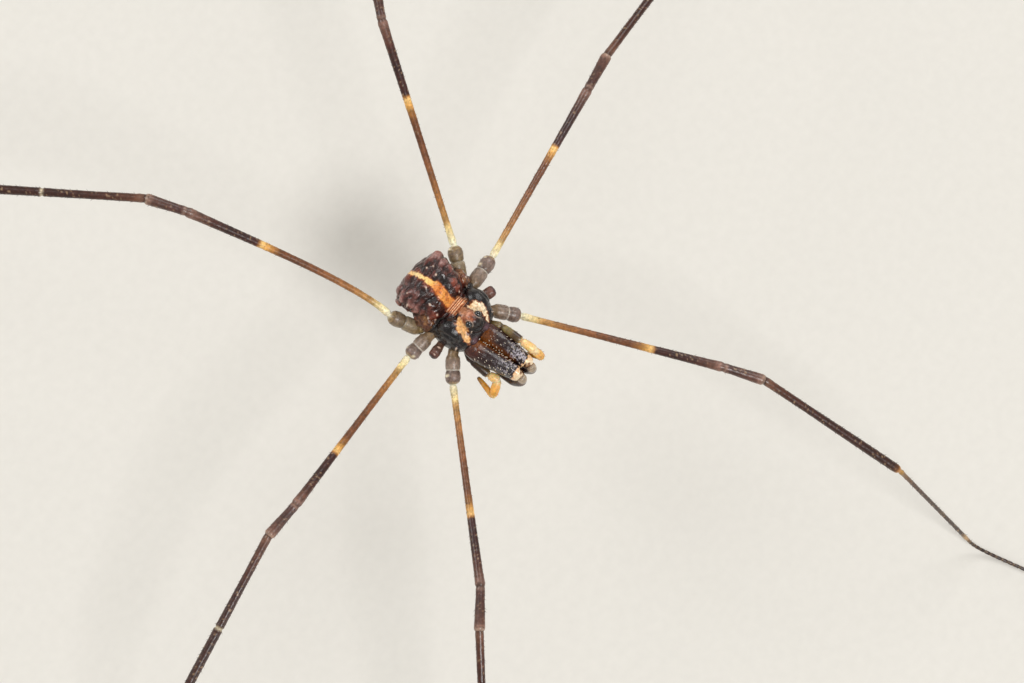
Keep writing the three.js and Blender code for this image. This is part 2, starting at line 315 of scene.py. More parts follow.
def to_mesh(name: str, form: Form, place: bool = True) -> bpy.types.Mesh:
    """Turn a form into a Blender mesh.

    Args:
        name: The mesh's name.
        form: What it is made of, in the animal's millimetres.
        place: Whether to take it into the frame's metres.

    Returns:
        The mesh, with its attributes.
    """
    mesh = bpy.data.meshes.new(name)
    points = (form.points + SHIFT) * MM if place else form.points
    mesh.from_pydata(points.tolist(), [], form.faces)
    mesh.polygons.foreach_set("use_smooth", np.ones(len(mesh.polygons), dtype=bool))
    tint = mesh.attributes.new("Tint", "FLOAT_COLOR", "POINT")
    tint.data.foreach_set(
        "color", np.column_stack([form.tint, np.ones(len(form.tint))]).astype(np.float32).ravel()
    )
    for key, values in (("Gloss", form.gloss), ("Hair", form.hair)):
        mesh.attributes.new(key, "FLOAT", "POINT").data.foreach_set("value", values.astype(np.float32))
    mesh.update()
    return mesh


def new_object(name: str, mesh: bpy.types.Mesh) -> bpy.types.Object:
    """Put a mesh into the scene at the origin.

    Args:
        name: The object's name.
        mesh: What it shows.

    Returns:
        The new object.
    """
    piece = bpy.data.objects.new(name, mesh)
    bpy.context.scene.collection.objects.link(piece)
    return piece


def evaluated_copy(piece: bpy.types.Object) -> bpy.types.Mesh:
    """Take a plain mesh of a piece with its modifiers worked in."""
    graph = bpy.context.evaluated_depsgraph_get()
    return bpy.data.meshes.new_from_object(piece.evaluated_get(graph), depsgraph=graph)


def melt_together(forms: Sequence[Form], voxel: float, rounds: int) -> tuple[Array, list[tuple[int, ...]]]:
    """Fuse overlapping closed forms into one even skin.

    Args:
        forms: The forms, in millimetres.
        voxel: The size of a mesh cell in millimetres.
        rounds: How often the result is relaxed.

    Returns:
        The new points and faces.
    """
    piece = new_object("melt", to_mesh("melt", Form.join(forms), place=False))
    remesh = piece.modifiers.new("fuse", "REMESH")
    remesh.mode = "VOXEL"
    remesh.voxel_size = voxel
    relax = piece.modifiers.new("relax", "SMOOTH")
    relax.factor = 0.5
    relax.iterations = rounds
    mesh = evaluated_copy(piece)
    points = np.empty(len(mesh.vertices) * 3)
    mesh.vertices.foreach_get("co", points)
    faces = [tuple(polygon.vertices) for polygon in mesh.polygons]
    bpy.data.objects.remove(piece)
    bpy.data.meshes.remove(mesh)
    return points.reshape(-1, 3), faces


def normals_of(points: Array, faces: list[tuple[int, ...]]) -> Array:
    """Work out the outward direction at each point of a mesh.

    Args:
        points: The mesh's points.
        faces: Its faces.

    Returns:
        One unit vector for each point.
    """
    mesh = bpy.data.meshes.new("normals")
    mesh.from_pydata(points.tolist(), [], faces)
    mesh.update()
    out = np.empty(len(points) * 3)
    mesh.vertex_normals.foreach_get("vector", out)
    bpy.data.meshes.remove(mesh)
    return out.reshape(-1, 3)


class Slot(Enum):
    """Names for the finishes."""

    CARAPACE = "carapace"
    EYE = "eye"
    CHELICERA = "chelicera"
    HAND = "chelicera_hand"
    PALP = "palp"
    FEMUR = "femur"


@dataclass(frozen=True)
class CuticleFinish:
    """Grown chitin cuticle: a hard skin under a thin wax layer that gives a wet-looking gloss."""

    name: str
    grain: float = 0.09  # width of the mottling, mm
    mottle: float = 0.35  # how strongly it darkens the colour
    relief: float = 0.008  # height of the bump, mm
    matt: float = 0.62
    shiny: float = 0.2
    wax: float = 0.15
    glow: float = 0.0  # light that passes through thin cuticle

    def build(self) -> bpy.types.Material:
        """Build the material.

        Returns:
            A material whose colour follows the Tint attribute and whose gloss follows the Gloss attribute.
        """
        material, tree, shader = new_material(self.name)
        place = add_node(tree, "ShaderNodeTexCoord")
        tint = add_node(tree, "ShaderNodeAttribute", attribute_name="Tint")
        gloss = add_node(tree, "ShaderNodeAttribute", attribute_name="Gloss")
        cells = 1 / (self.grain * MM)
        mottle = add_node(
            tree, "ShaderNodeTexNoise", {"Vector": place.outputs["Object"]}, {"Scale": cells, "Detail": 4.0}
        )
        fine = add_node(
            tree,
            "ShaderNodeTexNoise",
            {"Vector": place.outputs["Object"]},
            {"Scale": cells * 3.5, "Detail": 3.0},
        )
        level = add_node(
            tree, "ShaderNodeMapRange", {"Value": mottle.outputs["Fac"]},
            {"From Min": 0.36, "From Max": 0.64, "To Min": 1 - self.mottle, "To Max": 1 + self.mottle * 0.5},
        )
        colour = add_node(
            tree, "ShaderNodeMix", {6: tint.outputs["Color"], 7: level.outputs["Result"]}, {0: 1.0},
            data_type="RGBA", blend_type="MULTIPLY",
        )
        rough = add_node(
            tree, "ShaderNodeMapRange", {"Value": gloss.outputs["Fac"]},
            {"From Min": 0.0, "From Max": 1.0, "To Min": self.matt, "To Max": self.shiny},
        )
        uneven = add_node(
            tree, "ShaderNodeMath", {0: fine.outputs["Fac"], 2: rough.outputs["Result"]}, {1: 0.16},
            operation="MULTIPLY_ADD",
        )
        even = add_node(tree, "ShaderNodeMath", {0: uneven.outputs["Value"]}, {1: 0.08}, operation="SUBTRACT")
        bump = add_node(
            tree,
            "ShaderNodeBump",
            {"Height": fine.outputs["Fac"]},
            {"Strength": 0.7, "Distance": self.relief * MM},
        )
        coarse = add_node(
            tree, "ShaderNodeBump", {"Height": mottle.outputs["Fac"], "Normal": bump.outputs["Normal"]},
            {"Strength": 0.6, "Distance": 2 * self.relief * MM},
        )
        tree.links.new(colour.outputs[2], shader.inputs["Base Color"])
        tree.links.new(even.outputs["Value"], shader.inputs["Roughness"])
        tree.links.new(coarse.outputs["Normal"], shader.inputs["Normal"])
        shader.inputs["IOR"].default_value = 1.54
        shader.inputs["Coat Weight"].default_value = self.wax
        shader.inputs["Coat Roughness"].default_value = 0.12
        shader.inputs["Subsurface Weight"].default_value = self.glow
        shader.inputs["Subsurface Scale"].default_value = 0.1 * MM
        return material


@dataclass(frozen=True)
class PlainChitin:
    """Grown chitin of one colour with a fine grain, for lenses, teeth, bristles and claws."""

    name: str
    colour: str
    dark: str
    roughness: float
    wax: float = 0.0
    grain: float = 0.03

    def build(self) -> bpy.types.Material:
        """Build the material.

        Returns:
            A material that drifts between the two colours over the grain.
        """
        material, tree, shader = new_material(self.name)
        place = add_node(tree, "ShaderNodeTexCoord")
        grain = add_node(
            tree, "ShaderNodeTexNoise", {"Vector": place.outputs["Object"]},
            {"Scale": 1 / (self.grain * MM), "Detail": 2.0},
        )
        colour = add_node(
            tree, "ShaderNodeMix", {0: grain.outputs["Fac"]}, {6: linear(self.dark), 7: linear(self.colour)},
            data_type="RGBA",
        )
        tree.links.new(colour.outputs[2], shader.inputs["Base Color"])
        shader.inputs["Roughness"].default_value = self.roughness
        shader.inputs["IOR"].default_value = 1.54
        shader.inputs["Coat Weight"].default_value = self.wax
        shader.inputs["Coat Roughness"].default_value = 0.03
        return material


def new_material(name: str) -> tuple[bpy.types.Material, bpy.types.NodeTree, bpy.types.Node]:
    """Start a material and hand back its tree and shader.

    Args:
        name: The finish's name.

    Returns:
        The material, its node tree and its principled shader.
    """
    material = bpy.data.materials.new(name)
    material.use_nodes = True
    tree = material.node_tree
    return material, tree, tree.nodes["Principled BSDF"]


def add_node(
    tree: bpy.types.NodeTree,
    kind: str,
    links: dict[int | str, bpy.types.NodeSocket] | None = None,
    values: dict[int | str, object] | None = None,
    **settings: object,
) -> bpy.types.Node:
    """Add a node with its settings, values and incoming links.

    Args:
        tree: The tree that it goes into.
        kind: Its Blender type name.
        links: Input sockets with the outputs that feed them.
        values: Input sockets with the values they hold.
        **settings: The node's own properties.

    Returns:
        The node.
    """
    node = tree.nodes.new(kind)
    for key, value in settings.items():
        setattr(node, key, value)
    for key, value in (values or {}).items():
        node.inputs[key].default_value = value
    for key, source in (links or {}).items():
        tree.links.new(source, node.inputs[key])
    return node


@dataclass(frozen=True)
class Finishes:
    """Every finish of the animal, built once."""

    body: bpy.types.Material
    leg: bpy.types.Material
    jaw: bpy.types.Material
    palp: bpy.types.Material
    lens: bpy.types.Material
    tooth: bpy.types.Material
    bristle: bpy.types.Material
    claw: bpy.types.Material

    @staticmethod
    def make() -> "Finishes":
        """Build the materials.

        Returns:
            All the finishes.
        """
        return Finishes(
            body=CuticleFinish("Leathery cuticle, grown", grain=0.11, relief=0.012).build(),
            leg=CuticleFinish(
                "Leg cuticle, grown", grain=0.12, mottle=0.3, relief=0.006, glow=0.05
            ).build(),
            jaw=CuticleFinish(
                "Polished jaw chitin, grown", grain=0.08, mottle=0.3, wax=0.4, shiny=0.16
            ).build(),
            palp=CuticleFinish(
                "Thin palp cuticle, grown", grain=0.1, mottle=0.18, glow=0.3, relief=0.004
            ).build(),
            lens=PlainChitin("Clear eye lens, grown", "#0a090b", "#030304", 0.05, 1.0).build(),
            tooth=PlainChitin("Pale denticle chitin, grown", "#fff4e2", "#e6d2b8", 0.3, 0.2).build(),
            bristle=PlainChitin("Bristle chitin, grown", "#3a2a20", "#1c120c", 0.4).build(),
            claw=PlainChitin("Dark claw chitin, grown", "#2a1810", "#120a08", 0.25, 0.3).build(),
        )


class SproutTree:
    """A geometry-node tree that sets small spikes on a skin and gives them back as plain mesh."""

    def __init__(self, name: str, material: bpy.types.Material) -> None:
        """Build the tree.

        Args:
            name: The tree's name.
            material: The finish of the spikes.
        """
        self.tree = bpy.data.node_groups.new(name, "GeometryNodeTree")
        face = self.tree.interface
        face.new_socket("Geometry", in_out="INPUT", socket_type="NodeSocketGeometry")
        for label in ("Density", "Spacing", "Length", "Radius", "Lean"):
            face.new_socket(label, in_out="INPUT", socket_type="NodeSocketFloat")
        face.new_socket("Seed", in_out="INPUT", socket_type="NodeSocketInt")
        face.new_socket("Along", in_out="INPUT", socket_type="NodeSocketVector")
        face.new_socket("Geometry", in_out="OUTPUT", socket_type="NodeSocketGeometry")
        tree = self.tree
        inp = add_node(tree, "NodeGroupInput").outputs
        hair = add_node(tree, "GeometryNodeInputNamedAttribute", values={"Name": "Hair"}, data_type="FLOAT")
        scatter = add_node(
            tree, "GeometryNodeDistributePointsOnFaces",
            {
                "Mesh": inp["Geometry"], "Distance Min": inp["Spacing"], "Density Max": inp["Density"],
                "Density Factor": hair.outputs["Attribute"], "Seed": inp["Seed"],
            },
            distribute_method="POISSON",
        )
        spike = add_node(
            tree, "GeometryNodeMeshCone", {"Radius Bottom": inp["Radius"], "Depth": inp["Length"]},
            {"Vertices": 6, "Side Segments": 2, "Radius Top": 0.0},
        )
        sunk = add_node(tree, "ShaderNodeCombineXYZ", {"Z": self._times(inp["Length"], -0.12)})
        rooted = add_node(
            tree,
            "GeometryNodeTransform",
            {"Geometry": spike.outputs["Mesh"], "Translation": sunk.outputs["Vector"]},
        )
        lean = add_node(
            tree, "ShaderNodeVectorMath", {0: inp["Along"], "Scale": inp["Lean"]}, operation="SCALE"
        )
        aim = add_node(
            tree,
            "ShaderNodeVectorMath",
            {0: scatter.outputs["Normal"], 1: lean.outputs["Vector"]},
            operation="ADD",
        )
        turn = add_node(
            tree, "FunctionNodeAlignRotationToVector", {"Vector": aim.outputs["Vector"]}, axis="Z"
        )
        size = add_node(
            tree, "FunctionNodeRandomValue", {"Seed": inp["Seed"]}, {2: 0.6, 3: 1.25}, data_type="FLOAT"
        )
        placed = add_node(
            tree, "GeometryNodeInstanceOnPoints",
            {
                "Points": scatter.outputs["Points"], "Instance": rooted.outputs["Geometry"],
                "Rotation": turn.outputs["Rotation"], "Scale": size.outputs[1],
            },
        )
        real = add_node(tree, "GeometryNodeRealizeInstances", {"Geometry": placed.outputs["Instances"]})
        dressed = add_node(
            tree, "GeometryNodeSetMaterial", {"Geometry": real.outputs["Geometry"]}, {"Material": material}
        )
        shaded = add_node(tree, "GeometryNodeSetShadeSmooth", {"Geometry": dressed.outputs["Geometry"]})
        add_node(tree, "NodeGroupOutput", {"Geometry": shaded.outputs["Geometry"]})

    def _times(self, socket: bpy.types.NodeSocket, factor: float) -> bpy.types.NodeSocket:
        """Multiply a socket's value."""
        return add_node(
            self.tree, "ShaderNodeMath", {0: socket}, {1: factor}, operation="MULTIPLY"
        ).outputs[0]

    def grow(
        self, name: str, skin: bpy.types.Mesh, material: bpy.types.Material, **sizes: object
    ) -> bpy.types.Object:
        """Set spikes on a skin.

        Args:
            name: The new piece's name.
            skin: The mesh that they stand on, in metres.
            material: The finish of the spikes.
            **sizes: The tree's inputs, in metres where they are lengths.

        Returns:
            A plain mesh object of the spikes alone.
        """
        piece = new_object(name, skin.copy())
        modifier = piece.modifiers.new("sprout", "NODES")
        modifier.node_group = self.tree
        names = {
            item.name: item.identifier
            for item in self.tree.interface.items_tree
            if item.in_out == "INPUT"
        }
        for key, value in sizes.items():
            modifier[names[key.capitalize()]] = value
        mesh = evaluated_copy(piece)
        piece.modifiers.clear()
        piece.data = mesh
        mesh.name = name
        if not mesh.materials:
            mesh.materials.append(material)
        return piece


def finish_piece(
    piece: bpy.types.Object, material: bpy.types.Material | None, nodes: Sequence[str] = ()
) -> bpy.types.Object:
    """Dress a piece, hang it on the root body, and hide the solids that it stands for.

    Args:
        piece: The piece.
        material: Its finish, or None where it has one.
        nodes: The solids that it replaces.

    Returns:
        The piece.
    """
    if material is not None:
        piece.data.materials.clear()
        piece.data.materials.append(material)
    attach(piece, "root")
    if nodes:
        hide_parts(*nodes)
    log.info("%s: %d points", piece.name, len(piece.data.vertices))
    return piece


@dataclass
class Trunk:
    """Prosoma, eye mound and abdomen under one skin, with the two eyes.

    Markings are given from the body's midline.
    """

    voxel: float = 0.03
    belly: float = 12.27
    lobe_top: float = 14.66
    abdomen_top: float = 14.8
    mound: tuple[float, float, float] = (BODY_X - 0.02, -0.9, 14.85)
    eye_radius: float = 0.205
    eye_reach: float = 0.37
    furrows: tuple[float, ...] = (1.0, 1.5, 1.95, 2.45, 2.9)
    pleat_width: float = 0.115
    stripe_line: tuple = (
        (0.3, 0.12, 0.3), (0.65, 0.04, 0.28), (1.25, 0.065, 0.31), (1.85, 0.14, 0.25), (2.1, 0.08, 0.17),
        (2.35, 0.04, 0.15), (2.9, 0.03, 0.12), (3.3, -0.05, 0.12),
    )  # y, middle and half width
    tubercles: tuple = (
        (0.61, 2.18, 0.09), (0.9, 2.6, 0.07), (0.61, 2.82, 0.07), (-0.3, 2.15, 0.08), (-0.82, 1.41, 0.08),
        (-0.89, 0.77, 0.07), (-1.56, 2.31, 0.08), (0.85, 0.66, 0.08), (-1.3, 1.01, 0.07), (-1.1, 0.65, 0.07),
        (1.76, 0.88, 0.07), (1.48, 0.5, 0.07), (1.56, 1.69, 0.07), (-0.5, -1.3, 0.045), (-1.58, -1.23, 0.07),
        (1.22, -1.42, 0.06), (-1.15, 2.75, 0.06),
    )  # x, y and radius of the tubercles; their pale tips are partly pale granules and partly painted highlight

    # The dark patches beside the stripe and the pale streaks of the carapace, as x, y and half width
    DARK_LEFT = (
        (0.78, 2.1, 0.2), (0.68, 1.6, 0.24), (0.54, 1.07, 0.2), (0.6, 0.55, 0.22),
    )
    DARK_RIGHT = (
        (-0.55, 2.0, 0.3), (-0.6, 1.4, 0.34), (-0.62, 0.9, 0.26), (-0.66, 0.5, 0.24),
    )
    STREAK_LEFT = (
        (0.5, -0.32, 0.15), (0.72, -0.52, 0.27), (0.86, -0.88, 0.19), (0.84, -1.2, 0.13),
        (0.68, -1.5, 0.1),
    )
    STREAK_RIGHT = (
        (-0.46, -0.32, 0.13), (-0.64, -0.6, 0.26), (-0.78, -0.95, 0.25), (-0.88, -1.25, 0.18),
        (-0.92, -1.52, 0.1),
    )

    def build(self, finishes: Finishes) -> None:
        """Build the trunk and its eyes.

        Args:
            finishes: The materials.
        """
        points, faces = melt_together(self.forms(), self.voxel, 3)
        lift = self.relief(points)
        form = Form.of(points + normals_of(points, faces) * lift[:, None], faces)
        form.tint, form.gloss = self.markings(points, lift)
        mesh = to_mesh("trunk_skin", form)
        finish_piece(
            new_object("trunk_skin", mesh),
            finishes.body,
            ("prosoma", "abdomen", "ocularium"),
        )
        for name, side in (("eye_left", 1), ("eye_right", -1)):
            self.eye(name, side, finishes)

    def forms(self) -> list[Form]:
        """Shape what the skin is melted from.

        Returns:
            The overlapping closed forms.
        """
        x = BODY_X
        prosoma = self.sack(
            [
                (-1.84, x - 0.08, 0.5, 13.8, 13.1, 2.2), (-1.74, x - 0.08, 1.05, 14.0, 12.85, 2.4),
                (-1.5, x - 0.06, 1.42, 14.2, 12.6, 2.6), (-1.1, x - 0.04, 1.64, 14.36, 12.4, 2.6),
                (-0.6, x, 1.78, 14.42, 12.34, 2.6), (-0.1, x + 0.04, 1.8, 14.36, self.belly, 2.5),
                (0.3, x + 0.02, 1.6, 14.1, self.belly, 2.5), (0.7, x, 1.35, 13.85, 12.32, 2.4),
                (1.1, x, 1.2, 13.7, 12.6, 2.3),
            ]
        )
        abdomen = self.sack(
            [
                (0.3, x + 0.05, 0.7, 13.9, 12.8, 2.2),
                (0.6, x + 0.06, 1.2, 14.18, 12.5, 2.4),
                (1.1, x + 0.08, 1.5, 14.52, 12.35, 2.5),
                (1.7, x + 0.12, 1.68, 14.74, self.belly, 2.6),
                (2.3, x + 0.15, 1.78, self.abdomen_top, self.belly, 2.8),
                (2.75, x + 0.14, 1.76, 14.7, 12.36, 3.0),
                (3.08, x + 0.1, 1.5, 14.45, 12.6, 2.8),
                (3.3, x + 0.06, 1.1, 14.15, 12.95, 2.5),
                (3.42, x + 0.04, 0.6, 13.9, 13.2, 2.2),
            ]
        )
        lobes = [
            self.ellipsoid((x + 0.04 + side * 1.02, -0.42, 13.9), (0.72, 0.84, self.lobe_top - 13.9))
            for side in (-1, 1)
        ]
        flanks = [
            self.ellipsoid((x + 0.12 + side * 1.46, 0.98, 13.12), (0.5, 0.82, 0.62)) for side in (-1, 1)
        ]
        front = [self.ellipsoid((x - 0.14 + side * 0.5, -1.62, 13.72), (0.34, 0.3, 0.34)) for side in (-1, 1)]
        mound = self.ellipsoid(self.mound, (0.42, 0.54, 0.42))
        brow = self.ellipsoid((self.mound[0], self.mound[1] + 0.1, 14.42), (0.62, 0.86, 0.44))
        return [prosoma, abdomen, mound, brow, *lobes, *flanks, *front]

    def sack(self, sections: Sequence[tuple[float, ...]], rings: int = 72, sides: int = 72) -> Form:
        """Loft a body form along the body.

        Args:
            sections: Each one's place, middle, half width, top, bottom and fullness.
            rings: Sections after smoothing.
            sides: Points round each.

        Returns:
            A closed form.
        """
        table = curve_through(sections, rings)
        turn = 2 * math.pi * np.arange(sides) / sides
        y, x, half, top, bottom, full = (table[:, i, None] for i in range(6))

        def rounded(v: Array) -> Array:
            """Square a circle off by the section's fullness."""
            return np.sign(v) * np.abs(v) ** (2 / full)

        px = x + half * rounded(np.cos(turn)[None, :])
        pz = (top + bottom) / 2 + (top - bottom) / 2 * rounded(-np.sin(turn)[None, :])
        return skin_rings(np.stack([px, np.broadcast_to(y, px.shape), pz], axis=-1))

    def ellipsoid(
        self, centre: Sequence[float], radii: Sequence[float], rings: int = 24, sides: int = 32
    ) -> Form:
        """Make a closed rounded lump.

        Args:
            centre: Its centre.
            radii: Its radii across, along and up.
            rings: Sections along it.
            sides: Points round each.

        Returns:
            A closed form.
        """
        t = np.linspace(0.04, math.pi - 0.04, rings)[:, None]
        turn = 2 * math.pi * np.arange(sides)[None, :] / sides
        ring = np.stack([np.sin(t) * np.cos(turn), -np.cos(t) + 0 * turn, -np.sin(t) * np.sin(turn)], axis=-1)
        return skin_rings(ring * np.array(radii) + np.array(centre))

    def rear_margin(self, x: Array) -> Array:
        """Give where the carapace ends behind, further back at its lobes than in the middle."""
        return 0.42 * smooth(0.55, 1.1, np.abs(x - 0.1))

    def stripe_depth(self, x: Array, y: Array) -> Array:
        """Measure how far inside the back stripe each point lies, negative outside."""
        places, middles, halves = zip(*self.stripe_line)
        return np.interp(y, places, halves) - np.abs(x - np.interp(y, places, middles))

    def relief(self, p: Array) -> Array:
        """Raise humps, furrows, pleats, tubercles and grooves over the skin.

        Args:
            p: Points in millimetres.

        Returns:
            How far each point moves outwards.
        """
        x, y, z = p[:, 0] - BODY_X, p[:, 1], p[:, 2]
        margin = self.rear_margin(x)
        behind = smooth(0.1, 0.35, y - margin)
        stretched = p * np.array([1.0, 1.5, 1.0])
        humps = np.abs(ripple(stretched, 0.95, 2)) - 0.35
        wrinkles = np.abs(ripple(stretched, 0.42, 3)) - 0.35
        out = behind * (0.17 * humps + 0.042 * wrinkles + 0.007 * ripple(p, 0.14, 5))
        stripe = smooth(-0.1, 0.1, self.stripe_depth(x, y)) * smooth(13.6, 14.1, z) * behind
        out *= 1 - 0.7 * stripe
        wave = ripple(p, 0.6, 1) * 0.1
        for at in self.furrows:
            out -= behind * np.exp(
                -(((y - at - wave - 0.06 * np.abs(x)) / 0.06) ** 2)
            ) * 0.05 * (1 - 0.6 * stripe)
        for tx, ty, r in self.tubercles:
            away = ((x - tx) ** 2 + (y - ty) ** 2) / r**2
            out += 0.55 * r * np.exp(-away) * smooth(13.2, 13.5, z)
        waist = smooth(0.02, 0.12, y) * (1 - smooth(0.46, 0.56, y)) * (1 - smooth(0.5, 0.7, np.abs(x - 0.16)))
        out += waist * 0.026 * np.cos(2 * math.pi * (y + 0.06 * wave) / self.pleat_width)
        out -= 0.1 * np.exp(-(((y - margin - 0.07) / 0.08) ** 2)) * (1 - waist) * smooth(12.9, 13.4, z)
        ahead = 1 - behind
        groove = np.exp(-(((np.abs(x) - 0.46 - 0.3 * np.maximum(y + 0.8, 0)) / 0.07) ** 2))
        out -= ahead * groove * 0.035 * smooth(14.0, 14.25, z)
        rim = np.exp(-(((np.abs(x - 0.03) - 1.55 - 0.1 * (y + 0.4)) / 0.07) ** 2)) * (y < 0.2)
        out -= ahead * rim * 0.06 * smooth(13.2, 13.6, z)
        out += ahead * (1 - waist) * (ripple(p, 0.32, 6) * 0.012 + ripple(p, 0.1, 7) * 0.003)
        return out

    def markings(self, p: Array, lift: Array) -> tuple[Array, Array]:
        """Colour the skin.

        Args:
            p: Points in millimetres.
            lift: How far each was raised.

        Returns:
            The tint and the gloss at each point.
        """
        x, y, z = p[:, 0] - BODY_X, p[:, 1], p[:, 2]
        top = smooth(13.3, 13.9, z)
        broad, medium, small = ripple(p, 0.7, 11), ripple(p, 0.25, 12), ripple(p, 0.1, 13)
        fray = 0.05 * medium + 0.04 * small
        behind = smooth(0.04, 0.14, y - self.rear_margin(x) + fray * 0.6)
        tint, gloss = self.abdomen_tint(p, lift, broad, medium, small)
        deep = self.stripe_depth(x, y) + fray * 0.9
        tint = blend(tint, "#8c3c12", 0.85 * smooth(-0.1, -0.02, deep) * top)
        stripe = ramp(
            [
                (0.3, "#e8975c"), (0.7, "#f0a050"), (1.15, "#f2a04a"), (1.75, "#e88c40"),
                (2.05, "#ffc468"), (2.5, "#ffd88a"), (3.0, "#ffe0a0"), (3.3, "#ffca80"),
            ],
            y + 0.12 * medium,
        )
        stripe = blend(
            stripe, "#c4662a", 0.7 * smooth(0.1, 0.7, medium + 0.5 * small) * (1 - smooth(1.7, 2.1, y))
        )
        tint = blend(tint, stripe, smooth(-0.03, 0.05, deep) * top)
        shell, shell_gloss = self.shell_tint(p, medium, small, fray)
        tint = shell * (1 - behind[:, None]) + tint * behind[:, None]
        gloss = shell_gloss * (1 - behind) + gloss * behind
        waist = smooth(-0.08, 0.0, y) * (1 - smooth(0.44, 0.56, y + fray))
        middle = 1 - smooth(0.4, 0.62, np.abs(x - 0.16) + fray)
        # The waist pleats are orange, painted dark in their grooves as painted shade and pale on their crests
        # as painted highlight.
        pleat = 0.5 + 0.5 * np.cos(2 * math.pi * y / self.pleat_width)
        band = ramp([(0, "#8a3a14"), (0.45, "#d47c40"), (1, "#ffd2a6")], pleat + 0.25 * small)
        tint = blend(tint, band, waist * middle * smooth(13.6, 13.8, z))
        # The pale tubercle tips are partly their own pale granules and partly painted highlight.
        for tx, ty, r in self.tubercles:
            near = np.exp(-(((x - tx) ** 2 + (y - ty) ** 2) / (0.75 * r) ** 2) ** 2)
            tint = blend(tint, "#ffe2cc", 0.7 * near * smooth(13.2, 13.5, z))
        low = 1 - smooth(12.6, 13.2, z)
        tint = blend(tint, ramp([(-1, "#54402c"), (1, "#947a5c")], medium + small), low * 0.9)
        return tint, gloss

    def abdomen_tint(
        self, p: Array, lift: Array, broad: Array, medium: Array, small: Array
    ) -> tuple[Array, Array]:
        """Colour the abdomen and flanks: maroon, mauve at the corners, black beside the stripe.

        Args:
            p: Points in millimetres.
            lift: How far each was raised.
            broad: A slow random field.
            medium: A quicker one.
            small: The quickest one.

        Returns:
            The tint and the gloss at each point.
        """
        x, y, z = p[:, 0] - BODY_X, p[:, 1], p[:, 2]
        # Painted light: the maroon and mauve ramps follow the relief, lighter on the raised humps as painted
        # highlight and darker in the grooves as painted shade.
        rise = lift / 0.06 + 0.3 * small
        tint = ramp(
            [(-1.2, "#1c0705"), (-0.3, "#42140c"), (0.4, "#602418"), (1.3, "#8c4634")],
            rise + 0.5 * medium,
        )
        corners = smooth(1.2, 2.2, y) * smooth(0.5, 1.2, np.abs(x - 0.1) + 0.2 * broad)
        mauve = ramp([(-1.0, "#3c1c18"), (0.0, "#70433c"), (1.2, "#a8807a")], rise + 0.7 * medium)
        tint = blend(tint, mauve, 0.85 * corners * smooth(-0.5, 0.4, broad + 0.3))
        flank = smooth(1.25, 1.5, np.abs(x - 0.1)) * (1 - smooth(1.3, 1.7, y)) * (1 - smooth(13.9, 14.3, z))
        tint = blend(
            tint,
            ramp([(-1, "#482418"), (0, "#70442c"), (1, "#9a6c42")], medium + 0.4 * small),
            0.85 * flank,
        )
        fray = 0.07 * medium + 0.05 * small
        left = self.patch(x, y, self.DARK_LEFT, fray)
        right = self.patch(x, y, self.DARK_RIGHT, fray)
        tint = blend(
            tint, "#120506", 0.85 * smooth(-0.05, 0.07, np.maximum(left, right)) * smooth(13.7, 14.1, z)
        )
        return tint, 0.78 + 0.15 * medium + 0.1 * smooth(0, 1, rise)

    def shell_tint(self, p: Array, medium: Array, small: Array, fray: Array) -> tuple[Array, Array]:
        """Colour the carapace: blue-black lobes, two pale streaks, and the amber eye mound between them.

        Args:
            p: Points in millimetres.
            medium: A random field.
            small: A quicker one.
            fray: How ragged the edges are.

        Returns:
            The tint and the gloss at each point.
        """
        x, y, z = p[:, 0] - BODY_X, p[:, 1], p[:, 2]
        tint = ramp([(-1, "#070406"), (0.2, "#110a0d"), (1, "#241a1f")], medium + small)
        top = smooth(13.7, 14.0, z)
        brown = smooth(0.3, 0.0, np.abs(np.abs(x) - 0.62) - 0.1 * medium)
        tint = blend(tint, "#3a1810", 0.6 * brown * smooth(-1.7, -1.2, y) * top)
        left = self.patch(x, y, self.STREAK_LEFT, fray * 1.2)
        right = self.patch(x, y, self.STREAK_RIGHT, fray * 1.2)
        streak = np.maximum(left, right)
        tint = blend(tint, "#8e4a1c", 0.9 * smooth(-0.08, 0.0, streak) * top)
        light = blend(ramp([(-1, "#ffcf96"), (0.2, "#ffe9c4")], medium + small), "#f4b060",
                      (x < 0) * (0.75 + 0.25 * medium))
        tint = blend(tint, light, smooth(0, 0.05, streak) * top)
        mx, my = self.mound[0] - BODY_X, self.mound[1]
        away = np.sqrt(((x - mx) / 0.55) ** 2 + ((y - my) / 0.68) ** 2)
        on_mound = 1 - smooth(0.78, 1.05, away + fray)
        amber = ramp(
            [
                (-1.35, "#0c0505"), (-1.1, "#1c0b08"), (-0.96, "#4c2012"), (-0.8, "#84401f"),
                (-0.55, "#b46c4a"), (-0.35, "#e0a284"), (-0.2, "#eab492"),
            ],
            y + 0.16 * medium + 0.08 * small,
        )
        tint = blend(tint, amber, on_mound * smooth(14.2, 14.4, z))
        saddle = np.exp(-(((x - 0.06) / 0.32) ** 2) - ((y + 0.18) / 0.24) ** 2)
        tint = blend(tint, "#d0885c", 0.65 * smooth(0.3, 0.7, saddle + fray))
        gaps = [
            np.linalg.norm(p - self.eye_centre(side), axis=1) - self.eye_radius - 0.02 for side in (-1, 1)
        ]
        ring = sum(np.exp(-((gap / 0.04) ** 2)) for gap in gaps)
        tint = blend(tint, "#f0d8c4", np.clip(ring, 0, 1) * 0.4 * on_mound)
        knobs = np.exp(-(((np.abs(x + 0.12) - 0.5) / 0.22) ** 2) - ((y + 1.74) / 0.16) ** 2)
        tint = blend(tint, "#75525a", 0.8 * knobs * smooth(13.4, 13.7, z))
        return tint, 0.9 + 0.1 * small - 0.12 * on_mound

